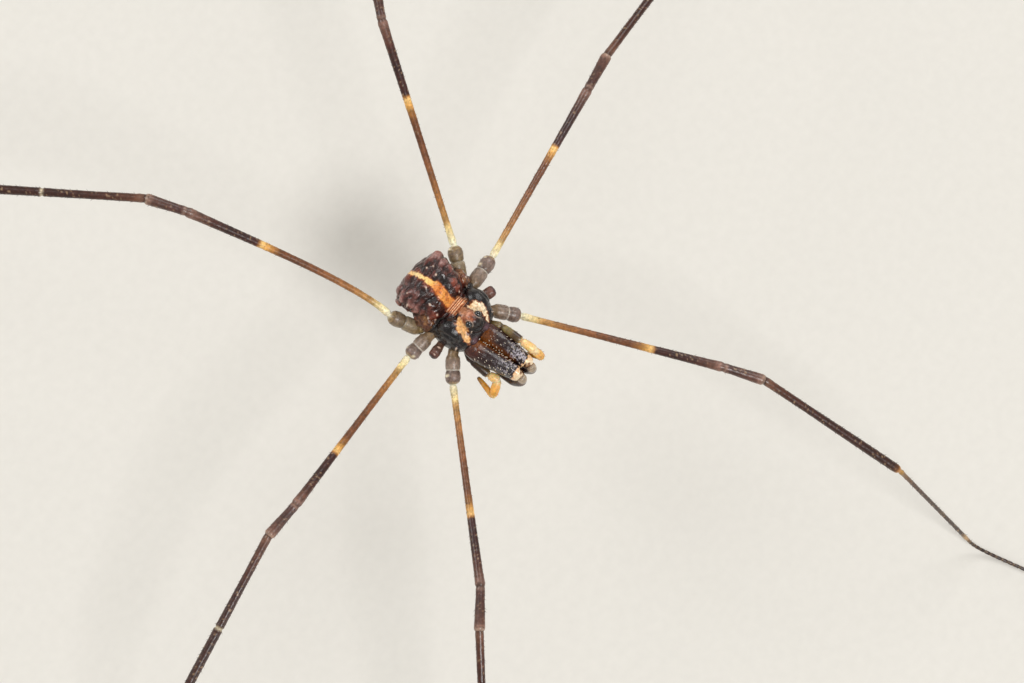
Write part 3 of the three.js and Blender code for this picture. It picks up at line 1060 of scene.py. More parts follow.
    def patch(self, x: Array, y: Array, knots: Sequence[tuple[float, float, float]], fray: Array) -> Array:
        """Measure how deep points lie in a streak.

        Args:
            x: Places across.
            y: Places along.
            knots: Points of the streak's middle line with its half width there.
            fray: How ragged its edge is at each point.

        Returns:
            The depth inside the streak, negative outside.
        """
        depth = np.full(len(x), -9.0)
        for a, b, half in curve_through(knots, 30):
            depth = np.maximum(depth, half - np.hypot(x - a, y - b))
        return depth + fray

    def eye_centre(self, side: int) -> Array:
        """Place an eye's centre on its side of the mound."""
        return np.array([self.mound[0] + side * self.eye_reach, self.mound[1] - 0.02, self.mound[2] + 0.19])

    def eye(self, name: str, side: int, finishes: Finishes) -> None:
        """Build one round lens.

        Args:
            name: The solid that it replaces.
            side: 1 for the left, -1 for the right.
            finishes: The materials.
        """
        r = self.eye_radius
        form = self.ellipsoid(self.eye_centre(side), (r, r, r), 32, 48)
        piece = new_object(name + "_lens", to_mesh(name + "_lens", form))
        finish_piece(piece, finishes.lens, (name,))


class LegPair(Enum):
    """The pairs of walking legs that are left.

    Each has the lengths of femur, patella, tibia and metatarsus, and where pale rings lie on the tibia.
    """

    FIRST = (11.4, 2.4, 9.7, 11.8, ())
    THIRD = (10.65, 2.25, 9.6, 12.2, (5.6,))
    FOURTH = (12.9, 2.3, 10.4, 14.5, (5.6, 8.1))


def buried_start(root: Array, lowest: float = 0.0) -> Array:
    """Place where a leg starts inside the trunk, from where it comes out and how low it may start."""
    inner = root * np.array([0.45, 0.6, 1]) + np.array([BODY_X * 0.5, 0, -0.12])
    return np.array([inner[0], inner[1], max(inner[2], lowest)])


def heading(compass: float, rise: float) -> Array:
    """Give the unit vector at a compass angle, from ahead towards the left, and a rise, in degrees."""
    a, e = math.radians(compass), math.radians(rise)
    return np.array([math.sin(a) * math.cos(e), -math.cos(a) * math.cos(e), math.sin(e)])


@dataclass
class Leg:
    """One walking leg from its hip to its claw under one skin, with its bristles."""

    name: str
    pair: LegPair
    root: tuple[float, float, float]
    hip: tuple[float, float, float]
    femur: float
    rise: float
    patella: float
    tibia: float
    drop: float
    outer: float
    bow: float
    arch: float = 0.0  # how far the femur bows sideways, mm
    hip_shade: str = "#8a7264"
    spots: tuple[tuple[float, float, float], ...] = ()  # x, y and radius of the coxa's cream spots
    sides: int = 18
    step: float = 0.055  # between stations, mm
    seed: int = 1
    plunge: float = field(init=False, default=0.0)  # of the metatarsus below the horizon, degrees

    HIP_RADII = (
        (0, 0.3), (0.1, 0.4), (0.3, 0.42), (0.46, 0.41), (0.5, 0.37), (0.515, 0.33), (0.53, 0.37),
        (0.58, 0.4), (0.75, 0.44), (0.88, 0.39), (0.94, 0.3), (0.97, 0.21), (1, 0.15),
    )
    FEMUR_RADII = (
        (0, 0.15), (0.008, 0.2), (0.02, 0.215), (0.05, 0.195), (0.12, 0.18), (0.5, 0.2), (0.8, 0.235),
        (0.93, 0.255), (0.965, 0.275), (0.985, 0.285), (0.995, 0.26), (1, 0.235),
    )
    PATELLA_RADII = (
        (0, 0.235), (0.03, 0.25), (0.08, 0.265), (0.2, 0.25), (0.5, 0.275), (0.8, 0.3), (0.94, 0.31),
        (0.98, 0.27), (1, 0.235),
    )
    TIBIA_RADII = (
        (0, 0.225), (0.008, 0.235), (0.02, 0.245), (0.06, 0.23), (0.3, 0.22), (0.6, 0.245),
        (0.85, 0.26), (0.97, 0.25), (0.985, 0.22), (1, 0.11),
    )
    METATARSUS_RADII = (
        (0, 0.1), (0.006, 0.14), (0.02, 0.15), (0.06, 0.125), (0.9, 0.115), (0.985, 0.125), (1, 0.09)
    )
    TARSUS_RADII = ((0, 0.09), (0.01, 0.105), (0.4, 0.095), (0.9, 0.07), (0.97, 0.06), (1, 0.012))

    HIP_TINT = (
        (0, "#8a7048"), (0.2, "#84705e"), (0.4, "#8f7e70"), (0.485, "#9a8a7a"), (0.498, "#ccc2b4"),
        (0.51, "#b8aea2"), (0.525, "#44332c"), (0.62, "#6c5a50"), (0.8, "#83706a"), (0.88, "#5c4438"),
        (0.92, "#a88c6c"), (0.95, "#6a4c30"), (1, "#f2e4bc"),
    )
    FEMUR_TINT = (
        (0, "#f8efd0"), (0.03, "#f4e4b4"), (0.075, "#e8cc8c"), (0.105, "#bc8c4c"), (0.2, "#a06a34"),
        (0.36, "#824e28"), (0.47, "#683a1c"), (0.55, "#70401e"), (0.59, "#a06a2e"), (0.62, "#dca250"),
        (0.648, "#f4c478"), (0.657, "#c08440"), (0.668, "#40180f"), (0.8, "#34140e"), (0.88, "#4a241a"),
        (0.95, "#6a4638"), (0.985, "#8a6658"), (1, "#5a3c30"),
    )
    PATELLA_TINT = (
        (0, "#5a3c30"), (0.05, "#86685a"), (0.12, "#50302a"), (0.5, "#523228"), (0.8, "#644034"),
        (0.92, "#8c6a5a"), (0.97, "#a88c7a"), (1, "#4a3028"),
    )
    TIBIA_TINT = (
        (0, "#4a2c20"), (0.02, "#74503e"), (0.05, "#643c2a"), (0.15, "#4c2618"), (0.35, "#3e1c12"),
        (0.94, "#381a10"), (0.97, "#7a4a26"), (0.985, "#c88a48"), (1, "#a87838"),
    )
    METATARSUS_TINT = (
        (0, "#c09048"), (0.03, "#8a6430"), (0.1, "#6a4420"), (0.2, "#4a2a12"), (0.55, "#3c2210"),
        (0.6, "#5c4226"), (0.66, "#3a2110"), (0.9, "#3a2212"), (0.94, "#b89468"), (0.99, "#c8a478"),
        (1, "#8a6844"),
    )
    TARSUS_TINT = ((0, "#8a6840"), (0.04, "#34201a"), (0.5, "#3a261c"), (0.95, "#4e3626"), (1, "#1c100a"))

    def joints(self) -> list[Array]:
        """Place the joints, and note how steeply the metatarsus comes down.

        Returns:
            The root and the ends of coxa, femur, patella, tibia and metatarsus.
        """
        femur, patella, tibia, metatarsus, _ = self.pair.value
        root, hip = np.array(self.root), np.array(self.hip)
        knee = hip + heading(self.femur, self.rise) * femur
        bend = knee + heading(self.patella, -2) * patella
        shin = bend + heading(self.tibia, -self.drop) * tibia
        self.plunge = math.degrees(math.asin((shin[2] - ANKLE_HEIGHT) / metatarsus))
        ankle = shin + heading(self.outer, -self.plunge) * metatarsus
        return [root, hip, knee, bend, shin, ankle]

    def tarsus_path(self, ankle: Array, radius: Array) -> Array:
        """Bend the tarsus down to the floor and lay it out there in a slow bow.

        Args:
            ankle: Where it starts.
            radius: Its radius at each station.

        Returns:
            Its middle line, a radius above the floor where it lies.
        """
        count = len(radius)
        step = TARSUS_LENGTH / (count - 1)
        path = [ankle]
        share = np.linspace(0, 1, count)
        for i in range(1, count):
            height = path[-1][2] - radius[i] - SOLE
            slope = min(self.plunge, math.degrees(math.atan(1.35 * max(height, 0.0))))
            ahead = heading(self.outer + self.bow * share[i], -slope)
            point = path[-1] + ahead * step
            point[2] = max(point[2], radius[i] + SOLE)
            path.append(point)
        return np.array(path)

    def stretch(self, start: Array, end: Array, sideways: float = 0.0) -> Array:
        """Run evenly from one joint to the next.

        Args:
            start: The first joint.
            end: The second one.
            sideways: How far the line bows, in millimetres.

        Returns:
            The points of the line.
        """
        count = max(int(np.linalg.norm(end - start) / self.step), 8)
        t = np.linspace(0, 1, count)[:, None]
        return start + (end - start) * t + heading(self.femur + 90, 0) * sideways * np.sin(math.pi * t**0.6)

    def build(self, finishes: Finishes, spikes: SproutTree) -> None:
        """Build the leg.

        Args:
            finishes: The materials.
            spikes: The tree that sets bristles.
        """
        root, hip, knee, bend, shin, ankle = self.joints()
        inner = buried_start(root, HIP_LOW)
        stretches = [self.stretch(root, hip), self.stretch(hip, knee, self.arch), self.stretch(knee, bend),
                     self.stretch(bend, shin), self.stretch(shin, ankle)]
        radii_knots = (
            self.HIP_RADII,
            self.FEMUR_RADII,
            self.PATELLA_RADII,
            self.TIBIA_RADII,
            self.METATARSUS_RADII,
        )
        tints = (self.HIP_TINT, self.FEMUR_TINT, self.PATELLA_TINT, self.TIBIA_TINT, self.METATARSUS_TINT)
        hairs = (0.25, 0.55, 0.8, 1.0, 0.7)
        start = self.stretch(inner, root)[:-1]
        paths, radii = [start], [np.linspace(0.28, 0.3, len(start))]
        colours, hair = [ramp(self.HIP_TINT, np.zeros(len(start)))], [np.zeros(len(start))]
        for line, knots, tint, thick in zip(stretches, radii_knots, tints, hairs):
            t = np.linspace(0, 1, len(line))
            places, values = zip(*knots)
            r, c = np.interp(t, places, values), ramp(tint, t)
            if tint is self.TIBIA_TINT:
                r, c = self.ringed(t, r, c)
            paths.append(line[:-1])
            radii.append(r[:-1])
            colours.append(c[:-1])
            hair.append(thick * smooth(0.03, 0.1, t[:-1]) * (1 - smooth(0.93, 0.97, t[:-1])))
        line, r, c = self.tarsus(ankle)
        paths.append(line)
        radii.append(r)
        colours.append(c)
        hair.append(np.full(len(line), 0.8))
        path, radius = rounded_path(np.concatenate(paths), 3), np.concatenate(radii)
        form = tube(path, radius, self.sides)
        form.tint = self.mottled(form.points, per_ring(np.concatenate(colours), self.sides))
        form.tint = self.hip_marks(form.points, form.tint)
        form.gloss = np.full(len(form.points), 0.62)
        form.hair = per_ring(np.concatenate(hair), self.sides)
        form.points += normals_of(form.points, form.faces) * (
            ripple(form.points, 0.16, self.seed) * 0.008
        )[:, None]
        form.points[:, 2] = np.maximum(form.points[:, 2], SOLE + 0.002)
        upright = normals_of(form.points, form.faces)[:, 2]
        form.hair = np.where(
            form.points[:, 2] < BARE_BELOW, form.hair * smooth(0.4, 0.65, upright), form.hair
        )
        mesh = to_mesh("leg_" + self.name, form)
        kinds = ("coxa", "femur", "patella", "tibia", "metatarsus", "tarsus")
        nodes = [f"{kind}_{self.name}" for kind in kinds]
        finish_piece(new_object("leg_" + self.name, mesh), finishes.leg, nodes)
        bristles = spikes.grow(
            "bristles_" + self.name,
            mesh,
            finishes.bristle,
            density=2.2e7,
            spacing=0.14 * MM,
            length=0.15 * MM,
            radius=0.011 * MM,
            lean=1.1,
            seed=self.seed,
            along=tuple(heading(self.outer, -20)),
        )
        finish_piece(bristles, None)

    def ringed(self, t: Array, r: Array, c: Array) -> tuple[Array, Array]:
        """Cut the false joints of a tibia: a narrow groove with a pale edge.

        Args:
            t: Fractions of the tibia's length.
            r: Its radii.
            c: Its colours.

        Returns:
            The radii and colours with the rings in them.
        """
        length, rings = self.pair.value[2], self.pair.value[4]
        for at in rings:
            away = (t * length - at) / 0.07
            r = r * (1 - 0.2 * np.exp(-(away**2))) + 0.015 * np.exp(-((np.abs(away) - 1.8) ** 2))
            c = blend(c, "#d8c8a8", 0.85 * np.exp(-(((t * length - at) / 0.09) ** 2)))
        return r, c

    def tarsus(self, ankle: Array) -> tuple[Array, Array, Array]:
        """Give the tarsus its many short beads and its claw.

        Args:
            ankle: Where it starts.

        Returns:
            Its middle line, radii and colours.
        """
        count = int(TARSUS_LENGTH / 0.045)
        t = np.linspace(0, 1, count)
        bead = 0.5 + 0.5 * np.cos(2 * math.pi * t * TARSUS_LENGTH / BEAD_LENGTH)
        radius = profile(self.TARSUS_RADII, count) * (1 - 0.2 * bead**4)
        colour = blend(ramp(self.TARSUS_TINT, t), "#8a7050", 0.5 * bead**4)
        path = self.tarsus_path(ankle, radius)
        claw = t > CLAW_FROM
        path[claw, 2] += 0.05 * np.sin(math.pi * (t[claw] - CLAW_FROM) / (1 - CLAW_FROM))
        return path, radius, colour

    def hip_marks(self, points: Array, tint: Array) -> Array:
        """Shade the coxa and set its cream spots.

        Args:
            points: Where the tints are.
            tint: The leg's colours.

        Returns:
            The colours with the coxa's marks.
        """
        hip = np.array(self.hip)
        inside = 1 - smooth(0.0, 0.5, np.sum((points - hip) * heading(self.femur, 0), axis=1) + 0.3)
        streak = ripple(points, 0.14, self.seed + 60)
        shaded = tint * 0.55 + shade(self.hip_shade) * (0.45 + 0.25 * streak)[:, None]
        bright = smooth(0.3, 0.5, tint.mean(axis=1))
        tint = blend(tint, shaded, 0.8 * inside * (1 - bright))
        for x, y, r in self.spots:
            near = np.exp(-(((points[:, 0] - x) ** 2 + (points[:, 1] - y) ** 2) / r**2) ** 2)
            tint = blend(tint, "#fff0cc", 0.9 * near * smooth(12.6, 12.8, points[:, 2]))
        return np.clip(tint, 0.002, 0.98)

    def mottled(self, points: Array, tint: Array) -> Array:
        """Scatter pale flecks and darker clouds over the colour bands.

        Args:
            points: Where the tints are.
            tint: The plain bands.

        Returns:
            The mottled colours.
        """
        cloud, fleck = ripple(points, 0.35, self.seed + 20), ripple(points, 0.13, self.seed + 40)
        tint = tint * (1 + 0.28 * cloud + 0.12 * fleck)[:, None]
        dark = 1 - smooth(0.02, 0.12, tint.mean(axis=1))
        tint = blend(tint, "#a88a6a", 0.75 * smooth(0.62, 0.85, fleck) * dark)
        return np.clip(tint, 0.002, 0.98)


@dataclass
class Stump:
    """The healed coxa of a lost leg, blunt and scarred."""

    name: str
    root: tuple[float, float, float]
    end: tuple[float, float, float]
    radius: float

    def build(self, finishes: Finishes) -> None:
        """Build the stump.

        Args:
            finishes: The materials.
        """
        root, end = np.array(self.root), np.array(self.end)
        inner = buried_start(root)
        path = np.concatenate([np.linspace(inner, root, 16)[:-1], np.linspace(root, end, 30)])
        t = np.linspace(0, 1, 30)
        knots = [(0, 0.85), (0.15, 0.95), (0.5, 1), (0.8, 0.94), (0.93, 0.74), (0.98, 0.5), (1, 0.2)]
        radius = self.radius * np.concatenate([np.full(15, 0.8), profile(knots, 30)])
        tint = [(0, "#6a4a38"), (0.35, "#5c3c30"), (0.7, "#74483a"), (0.9, "#54302a"), (1, "#2a1410")]
        form = tube(path, radius, 28)
        colours = np.concatenate([ramp(tint, np.zeros(15)), ramp(tint, t)])
        form.tint = per_ring(colours, 28) * (1 + 0.3 * ripple(form.points, 0.2, 3))[:, None]
        form.tint = blend(form.tint, "#f0d4c0", 0.85 * smooth(0.55, 0.75, ripple(form.points, 0.17, 5)))
        form.points += normals_of(form.points, form.faces) * (ripple(form.points, 0.18, 9) * 0.014)[:, None]
        piece = new_object("stump_" + self.name, to_mesh("stump_" + self.name, form))
        finish_piece(piece, finishes.leg, ("coxa_" + self.name,))


@dataclass
class Chelicera:
    """A stout toothed jaw: its base points forwards, and its hand is folded back beneath it."""

    name: str
    side: int
    back: tuple[float, float, float] = (BODY_X - 0.335, -1.5, 13.36)  # on the seam between the two
    front: tuple[float, float, float] = (BODY_X + 0.015, -4.8, 13.42)
    half_height: float = 0.59
    gap: float = 0.004  # between the seam and each base

    WIDTHS = (
        (0, 0.34), (0.05, 0.5), (0.12, 0.57), (0.25, 0.585), (0.4, 0.57), (0.7, 0.48), (0.88, 0.42),
        (0.945, 0.41), (0.975, 0.34), (0.99, 0.26), (1, 0.14),
    )
    HEIGHTS = ((0, 0.5), (0.06, 0.8), (0.2, 1), (0.85, 1), (0.95, 0.95), (0.98, 0.8), (1, 0.35))
    BASE_TINT = (
        (0, "#5a3430"), (0.1, "#4c2218"), (0.2, "#421710"), (0.3, "#30100e"), (0.42, "#24080b"),
        (0.86, "#17050a"), (0.9, "#2a0c0c"), (0.912, "#f8c08a"), (0.94, "#ffdcb2"), (0.98, "#ffe4c0"),
        (0.99, "#c08a5c"), (1, "#4a2c20"),
    )
    HAND_TINT = (
        (0, "#6a4e40"), (0.06, "#b09c84"), (0.16, "#a48e76"), (0.24, "#5c4030"), (0.3, "#2c1210"),
        (0.55, "#1c080b"), (0.8, "#2c1210"), (1, "#0c0505"),
    )

    def build(self, finishes: Finishes, spikes: SproutTree) -> None:
        """Build the jaw.

        Args:
            finishes: The materials.
            spikes: The tree that sets denticles.
        """
        self.base(finishes, spikes)
        self.hand(finishes)

    def base(self, finishes: Finishes, spikes: SproutTree) -> None:
        """Build the base and its pale denticles.

        Args:
            finishes: The materials.
            spikes: The tree that sets denticles.
        """
        count, sides = 150, 56
        t = np.linspace(0, 1, count)
        radius = profile(self.WIDTHS, count)
        back, front = np.array(self.back), np.array(self.front)
        path = back + (front - back) * t[:, None]
        path[:, 0] += self.side * (self.gap + radius)
        path[:, 2] += 0.05 * np.sin(math.pi * t)
        height = profile(self.HEIGHTS, count) * self.half_height
        form = tube(path, radius, sides, height / radius)
        place = per_ring(t, sides)
        turn = np.concatenate([np.tile(2 * math.pi * np.arange(sides) / sides, count), [0, 0]])
        upward, inward = np.sin(turn), -self.side * np.cos(turn)
        lump = ripple(form.points, 0.24, 30 + self.side)
        fine = ripple(form.points, 0.09, 34 + self.side)
        form.points += normals_of(form.points, form.faces) * (lump * 0.014)[:, None]
        tint = ramp(self.BASE_TINT, place + 0.022 * ripple(form.points, 0.16, 5))
        seam = smooth(0.45, 0.9, inward) * smooth(-0.1, 0.4, upward) * (1 - smooth(0.7, 0.85, place))
        inner_back = smooth(-0.5, 0.5, inward + 0.4 * fine) * smooth(-0.2, 0.4, upward)
        inner_back *= 1 - smooth(0.14, 0.36, place)
        tint = blend(tint, "#8a4c16", np.clip(0.55 * seam + 0.85 * inner_back, 0, 0.9))
        # Painted sheen: a whitish-violet highlight painted on the upper side of the distal base, where light
        # glances off.
        painted_sheen = smooth(0.35, 0.85, upward) * smooth(0.5, 0.68, place) * (1 - smooth(0.88, 0.92, place))
        tint = blend(tint, "#d2cad4", 0.6 * painted_sheen * smooth(0.1, 0.6, 0.6 * lump + fine))
        form.tint = np.clip(tint * (1 + 0.2 * lump)[:, None], 0.002, 1)
        form.gloss = 0.8 + 0.1 * lump - 0.25 * painted_sheen
        form.hair = smooth(0.05, 0.5, upward) * smooth(0.16, 0.26, place) * (1 - smooth(0.87, 0.91, place))
        name = "chelicera_base_" + self.name + "_skin"
        mesh = to_mesh(name, form)
        finish_piece(new_object(name, mesh), finishes.jaw, ("chelicera_base_" + self.name,))
        teeth = spikes.grow(
            "denticles_" + self.name,
            mesh,
            finishes.tooth,
            density=2.6e7,
            spacing=0.13 * MM,
            length=0.12 * MM,
            radius=0.03 * MM,
            lean=0.9,
            seed=8 + self.side,
            along=(0.0, -1.0, 0.3),
        )
        finish_piece(teeth, None)

    def hand(self, finishes: Finishes) -> None:
        """Build the folded hand with its fixed finger, and the movable finger below it.

        Args:
            finishes: The materials.
        """
        x = BODY_X - 0.04 + self.side * 0.45
        inside = np.array([1.0, 0.0, 0.0])
        path = curve_through(
            [(x - 0.04 * self.side, -4.84, 13.68), (x - 0.04 * self.side, -4.98, 13.56),
             (x - 0.04 * self.side, -5.06, 13.3), (x, -5.0, 12.95), (x, -4.72, 12.52),
             (x, -4.1, 12.34), (x, -3.5, 12.3), (x, -3.0, 12.28), (x, -2.45, 12.22), (x, -2.15, 12.1)], 140)
        radius = profile([(0, 0.05), (0.03, 0.17), (0.08, 0.25), (0.15, 0.265), (0.22, 0.25), (0.3, 0.32),
                          (0.45, 0.42), (0.6, 0.42), (0.7, 0.3), (0.82, 0.16), (0.95, 0.08), (1, 0.015)], 140)
        form = tube(path, radius, 32, np.minimum(1.0, 0.31 / radius), inside)
        lump = ripple(form.points, 0.15, 50 + self.side)
        form.tint = per_ring(ramp(self.HAND_TINT, np.linspace(0, 1, 140)), 32) * (1 + 0.3 * lump)[:, None]
        form.tint = np.clip(form.tint, 0.002, 1)
        form.gloss[:] = 0.72
        finger = tube(
            curve_through(
                [
                    (x, -3.9, 12.2), (x, -3.65, 12.0), (x, -3.3, 11.82), (x, -2.85, 11.75),
                    (x, -2.5, 11.82), (x, -2.24, 11.98),
                ],
                60,
            ),
            profile([(0, 0.14), (0.2, 0.2), (0.4, 0.165), (0.7, 0.11), (0.95, 0.045), (1, 0.01)], 60),
            20,
            1.0,
            inside,
        )
        finger.tint = per_ring(
            ramp([(0, "#4a2a20"), (0.4, "#2a120e"), (1, "#0c0505")], np.linspace(0, 1, 60)), 20
        )
        finger.gloss[:] = 0.85
        for shape, node in ((form, "chelicera_hand_"), (finger, "chelicera_finger_")):
            label = node + self.name + "_skin"
            finish_piece(
                new_object(label, to_mesh(label, shape)), finishes.jaw, (node + self.name,)
            )


@dataclass
class Palp:
    """A pedipalp: femur dark behind, with part of it painted shadow, pale patella and tibia, and a slender
    golden tarsus.
    """

    name: str
    knots: Sequence[tuple[float, float, float]]
    shaded_from: float  # where the femur turns dark maroon, partly painted shadow, as a fraction of its length
    seed: int = 60

    RADII = (
        ((0, 0.14), (0.5, 0.22), (0.85, 0.24), (1, 0.16)),
        ((0, 0.14), (0.1, 0.2), (0.5, 0.235), (0.85, 0.245), (0.95, 0.22), (1, 0.14)),
        ((0, 0.14), (0.08, 0.22), (0.4, 0.25), (0.85, 0.27), (0.95, 0.24), (1, 0.17)),
        ((0, 0.16), (0.1, 0.23), (0.5, 0.26), (0.85, 0.24), (1, 0.16)),
        ((0, 0.12), (0.06, 0.17), (0.5, 0.16), (0.9, 0.12), (0.97, 0.08), (1, 0.02)),
    )
    TINTS = (
        ((0, "#4a3a22"), (0.5, "#6e5a34"), (0.9, "#857048"), (1, "#4a3420")),
        ((0, "#5a482c"), (0.2, "#857648"), (0.7, "#80653c"), (0.93, "#a88a5c"), (1, "#e0c490")),
        ((0, "#e0b880"), (0.12, "#ffd79a"), (0.5, "#ffc878"), (0.9, "#ffdca6"), (1, "#ffe9c4")),
        ((0, "#ffe2b2"), (0.3, "#f5b860"), (0.8, "#e9a848"), (1, "#f4cc8c")),
        ((0, "#f2c06c"), (0.4, "#dc9a38"), (0.85, "#b8802c"), (1, "#3a2010")),
    )

    def build(self, finishes: Finishes, spikes: SproutTree) -> None:
        """Build the palp.

        Args:
            finishes: The materials.
            spikes: The tree that sets bristles.
        """
        k = [np.array(knot) for knot in self.knots]
        paths, radii, colours, dark_back_and_shadow = [], [], [], []
        for i, (knots, tint) in enumerate(zip(self.RADII, self.TINTS)):
            count = max(int(np.linalg.norm(k[i + 1] - k[i]) / 0.03), 12)
            t = np.linspace(0, 1, count)
            line = k[i] + (k[i + 1] - k[i]) * t[:, None]
            line[:, 2] += 0.06 * np.sin(math.pi * t)
            paths.append(line)
            radii.append(profile(knots, count))
            colours.append(ramp(tint, t))
            at = t + i - 1
            dark = smooth(self.shaded_from, self.shaded_from + 0.2, at) * (1 - smooth(0.86, 0.97, at))
            dark_back_and_shadow.append(dark)
        path = rounded_path(np.concatenate(paths), 4)
        form = tube(path, np.concatenate(radii), 24)
        turn = np.concatenate([np.tile(2 * math.pi * np.arange(24) / 24, len(path)), [0, 0]])
        cloud = ripple(form.points, 0.2, self.seed)
        side = -1 if self.name == "right" else 1
        outer = 0.7 + 0.3 * smooth(-0.2, 0.4, np.cos(turn) * side + 0.3 * cloud)
        form.tint = per_ring(np.concatenate(colours), 24) * (1 + 0.2 * cloud)[:, None]
        # The dark femur is partly its own dark back and partly painted shadow, deepest on the outer side.
        form.tint = blend(form.tint, "#2c1410", 0.95 * outer * per_ring(np.concatenate(dark_back_and_shadow), 24))
        form.tint = np.clip(form.tint, 0.002, 1)
        form.gloss[:] = 0.65
        form.hair[:] = 0.7
        name = "palp_" + self.name
        mesh = to_mesh(name, form)
        nodes = [f"palp_{part}_{self.name}" for part in ("femur", "patella", "tarsus")]
        finish_piece(new_object(name, mesh), finishes.palp, nodes)
        hairs = spikes.grow(
            "palp_bristles_" + self.name,
            mesh,
            finishes.bristle,
            density=4e7,
            spacing=0.1 * MM,
            length=0.13 * MM,
            radius=0.008 * MM,
            lean=0.8,
            seed=self.seed,
            along=(0.0, -1.0, 0.0),
        )
        finish_piece(hairs, None)


@dataclass
class Studio:
    """The pale floor, the soft lights and the camera."""

    pixels_per_mm: float = 18.4  # at the body, in the photo's frame
    distance: float = 254.0  # from camera to body, mm
    lean: float = 13.0  # of the camera towards the animal's right, degrees
    roll: float = 40.0  # of the head below the frame's horizontal, degrees
    body: tuple[float, float, float] = (0.0, 0.0, 13.6)
    body_pixel: tuple[float, float] = (455.0, 315.0)
    frame_size: tuple[int, int] = (1024, 683)
    sensor: float = 36.0
    floor_half: float = 400.0  # mm
    lights: tuple = (
        ("key", (-60, -150, 330), 110, 0.62),
        ("fill", (230, 60, 240), 190, 0.3),
        ("back", (-60, 260, 200), 140, 0.3),
        ("low", (0, -330, 60), 140, 0.08),
    )

    def build(self) -> None:
        """Build floor, lights, world and camera."""
        self.floor()
        self.lamps()
        self.camera()

    def floor(self) -> None:
        """Lay the floor under the feet."""
        h = self.floor_half * MM
        low = float(CAD_BOX[0][2]) - 0.0001 * MM
        mesh = bpy.data.meshes.new("floor")
        mesh.from_pydata([(-h, -h, low), (h, -h, low), (h, h, low), (-h, h, low)], [], [(0, 1, 2, 3)])
        plane = new_object("floor", mesh)
        material, tree, shader = new_material("Pale seamless paper, rolled")
        place = add_node(tree, "ShaderNodeTexCoord")
        fibre = add_node(tree, "ShaderNodeTexNoise", {"Vector": place.outputs["Object"]},
                         {"Scale": 1 / (0.6 * MM), "Detail": 4.0})
        tone = add_node(tree, "ShaderNodeMix", {0: fibre.outputs["Fac"]},
                        {6: linear("#dcd9d2"), 7: linear("#e4e1da")}, data_type="RGBA")
        tree.links.new(tone.outputs[2], shader.inputs["Base Color"])
        shader.inputs["Roughness"].default_value = 0.9
        mesh.materials.append(material)

    def lamps(self) -> None:
        """Hang the soft boxes, each aimed at the body, and light the room evenly."""
        target = Vector((np.array(self.body) + SHIFT) * MM)
        for name, place, size, power in self.lights:
            light = bpy.data.lights.new(name, "AREA")
            light.shape = "DISK"
            light.size = size * MM
            light.energy = power
            lamp = bpy.data.objects.new(name, light)
            lamp.location = Vector(place) * MM
            lamp.rotation_euler = (target - lamp.location).to_track_quat("-Z", "Y").to_euler()
            bpy.context.scene.collection.objects.link(lamp)
        world = bpy.data.worlds.new("room")
        world.use_nodes = True
        background = world.node_tree.nodes["Background"]
        background.inputs["Color"].default_value = linear("#fbf7f0")
        background.inputs["Strength"].default_value = 0.4
        bpy.context.scene.world = world
        bpy.context.scene.view_settings.view_transform = "Standard"

    def camera(self) -> None:
        """Place the camera so that the body stands in the frame as in the photo."""
        lean, roll = math.radians(self.lean), math.radians(self.roll)
        back = np.array([-math.sin(lean), 0, math.cos(lean)])
        left = np.array([math.cos(lean), 0, math.sin(lean)])
        ahead = np.cross(left, back)
        right = math.cos(roll) * ahead + math.sin(roll) * left
        up = -math.sin(roll) * ahead + math.cos(roll) * left
        wide, high = self.frame_size
        dx = (wide / 2 - self.body_pixel[0]) / self.pixels_per_mm
        dy = (high / 2 - self.body_pixel[1]) / self.pixels_per_mm
        eye = np.array(self.body) + back * self.distance + right * dx - up * dy
        lens = bpy.data.cameras.new("camera")
        lens.sensor_width = self.sensor
        lens.lens = self.pixels_per_mm * self.distance / wide * self.sensor
        lens.clip_start, lens.clip_end = 0.01, 10.0
        view = bpy.data.objects.new("camera", lens)
        turn = Matrix((right, up, back)).transposed().to_4x4()
        view.matrix_world = Matrix.Translation(Vector((eye + SHIFT) * MM)) @ turn
        bpy.context.scene.collection.objects.link(view)
        bpy.context.scene.camera = view


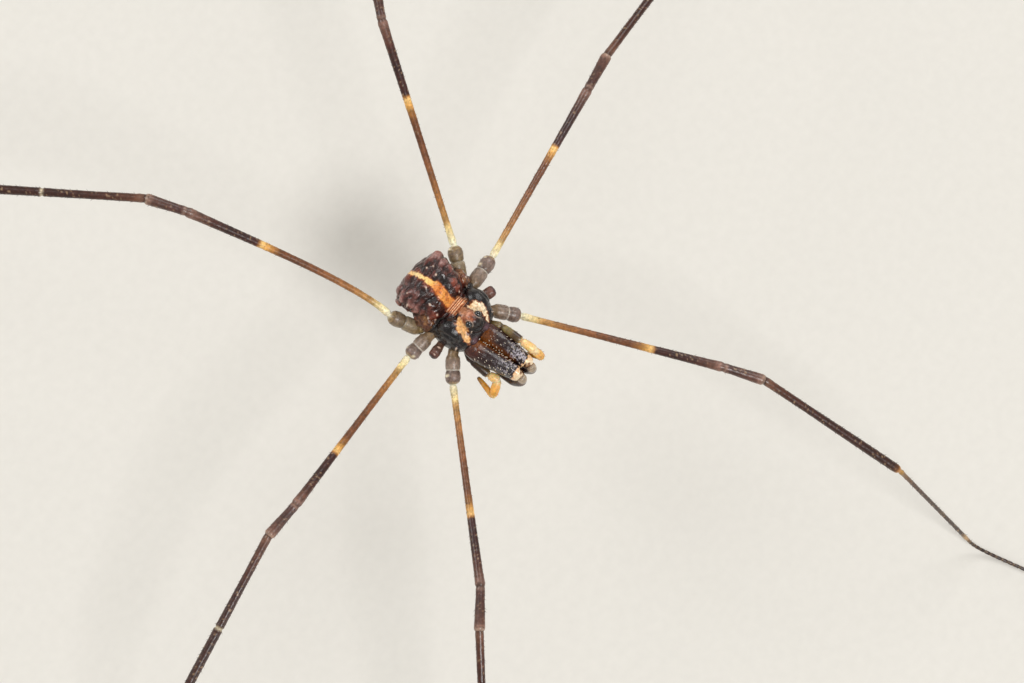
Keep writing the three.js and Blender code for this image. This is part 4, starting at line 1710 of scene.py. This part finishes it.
LEGS = (
    Leg(
        "left_1", LegPair.FIRST, root=(1.72, -1.42, 12.95), hip=(2.56, -2.78, 12.6), femur=24.7,
        rise=8, patella=23.4, tibia=10.9, drop=17, outer=18, bow=-5, seed=1,
        spots=((2.76, -2.19, 0.09),),
    ),
    Leg(
        "left_3", LegPair.THIRD, root=(2.02, 0.34, 12.85), hip=(4.06, 0.51, 12.6), femur=100.4,
        rise=9, patella=100.6, tibia=93.3, drop=15, outer=96, bow=-14, seed=2,
        spots=((3.24, 0.8, 0.09), (3.75, 0.82, 0.07)),
    ),
    Leg(
        "left_4", LegPair.FOURTH, root=(1.98, 1.06, 12.6), hip=(3.06, 2.51, 13.1), femur=148.6,
        rise=8, patella=139.5, tibia=129.3, drop=14, outer=134, bow=15, seed=3,
        hip_shade="#96804e", spots=((2.72, 2.55, 0.08),),
    ),
    Leg(
        "right_1", LegPair.FIRST, root=(-1.62, -1.3, 12.9), hip=(-2.84, -2.36, 12.6), femur=-44.1,
        rise=8, patella=-51.7, tibia=-46.2, drop=15, outer=-50, bow=-15, seed=4,
        spots=((-2.2, -0.92, 0.07), (-2.73, -1.78, 0.09)),
    ),
    Leg(
        "right_3", LegPair.THIRD, root=(-1.76, 0.36, 12.85), hip=(-3.25, 0.49, 12.6), femur=-87.1,
        rise=9, patella=-91, tibia=-77.8, drop=15, outer=-83, bow=14, seed=5,
        spots=((-2.9, 0.9, 0.07), (-3.4, 0.6, 0.09), (-3.1, 0.3, 0.07)),
    ),
    Leg(
        "right_4", LegPair.FOURTH, root=(-1.66, 1.02, 12.5), hip=(-2.27, 2.74, 13.1), femur=-162.8,
        rise=18, patella=-157.5, tibia=-145.6, drop=14, outer=-150, bow=-16, arch=-0.4, seed=6,
        hip_shade="#96804e", spots=((-1.72, 2.7, 0.09),),
    ),
)
STUMPS = (
    Stump("left_2", (1.98, -0.54, 12.95), (2.64, -0.74, 13.12), 0.33),
    Stump("right_2", (-1.8, -0.46, 12.9), (-2.5, -0.5, 12.95), 0.29),
)
PALPS = (
    Palp("left", ((0.84, -1.5, 13.1), (1.18, -2.35, 13.64), (1.2, -3.68, 13.88), (1.3, -4.55, 13.76),
                  (1.41, -5.1, 13.1), (1.21, -4.3, 12.3)), 0.42),
    Palp("right", ((-0.8, -1.5, 12.7), (-1.18, -2.3, 12.72), (-1.14, -3.5, 12.66), (-1.02, -4.05, 12.6),
                   (-1.78, -4.42, 12.05), (-1.42, -3.1, 11.75)), -1.0, seed=61),
)


def main() -> None:
    """Build the studio and the animal, and report each piece."""
    logging.basicConfig(level=logging.INFO, format="%(name)s: %(message)s")
    Studio().build()
    finishes = Finishes.make()
    denticle_tree = SproutTree("Denticles", finishes.tooth)
    bristle_tree = SproutTree("Bristles", finishes.bristle)
    Trunk().build(finishes)
    for name, side in (("left", 1), ("right", -1)):
        Chelicera(name, side).build(finishes, denticle_tree)
    for palp in PALPS:
        palp.build(finishes, bristle_tree)
    for leg in LEGS:
        leg.build(finishes, bristle_tree)
    for stump in STUMPS:
        stump.build(finishes)


if __name__ == "__main__":
    main()
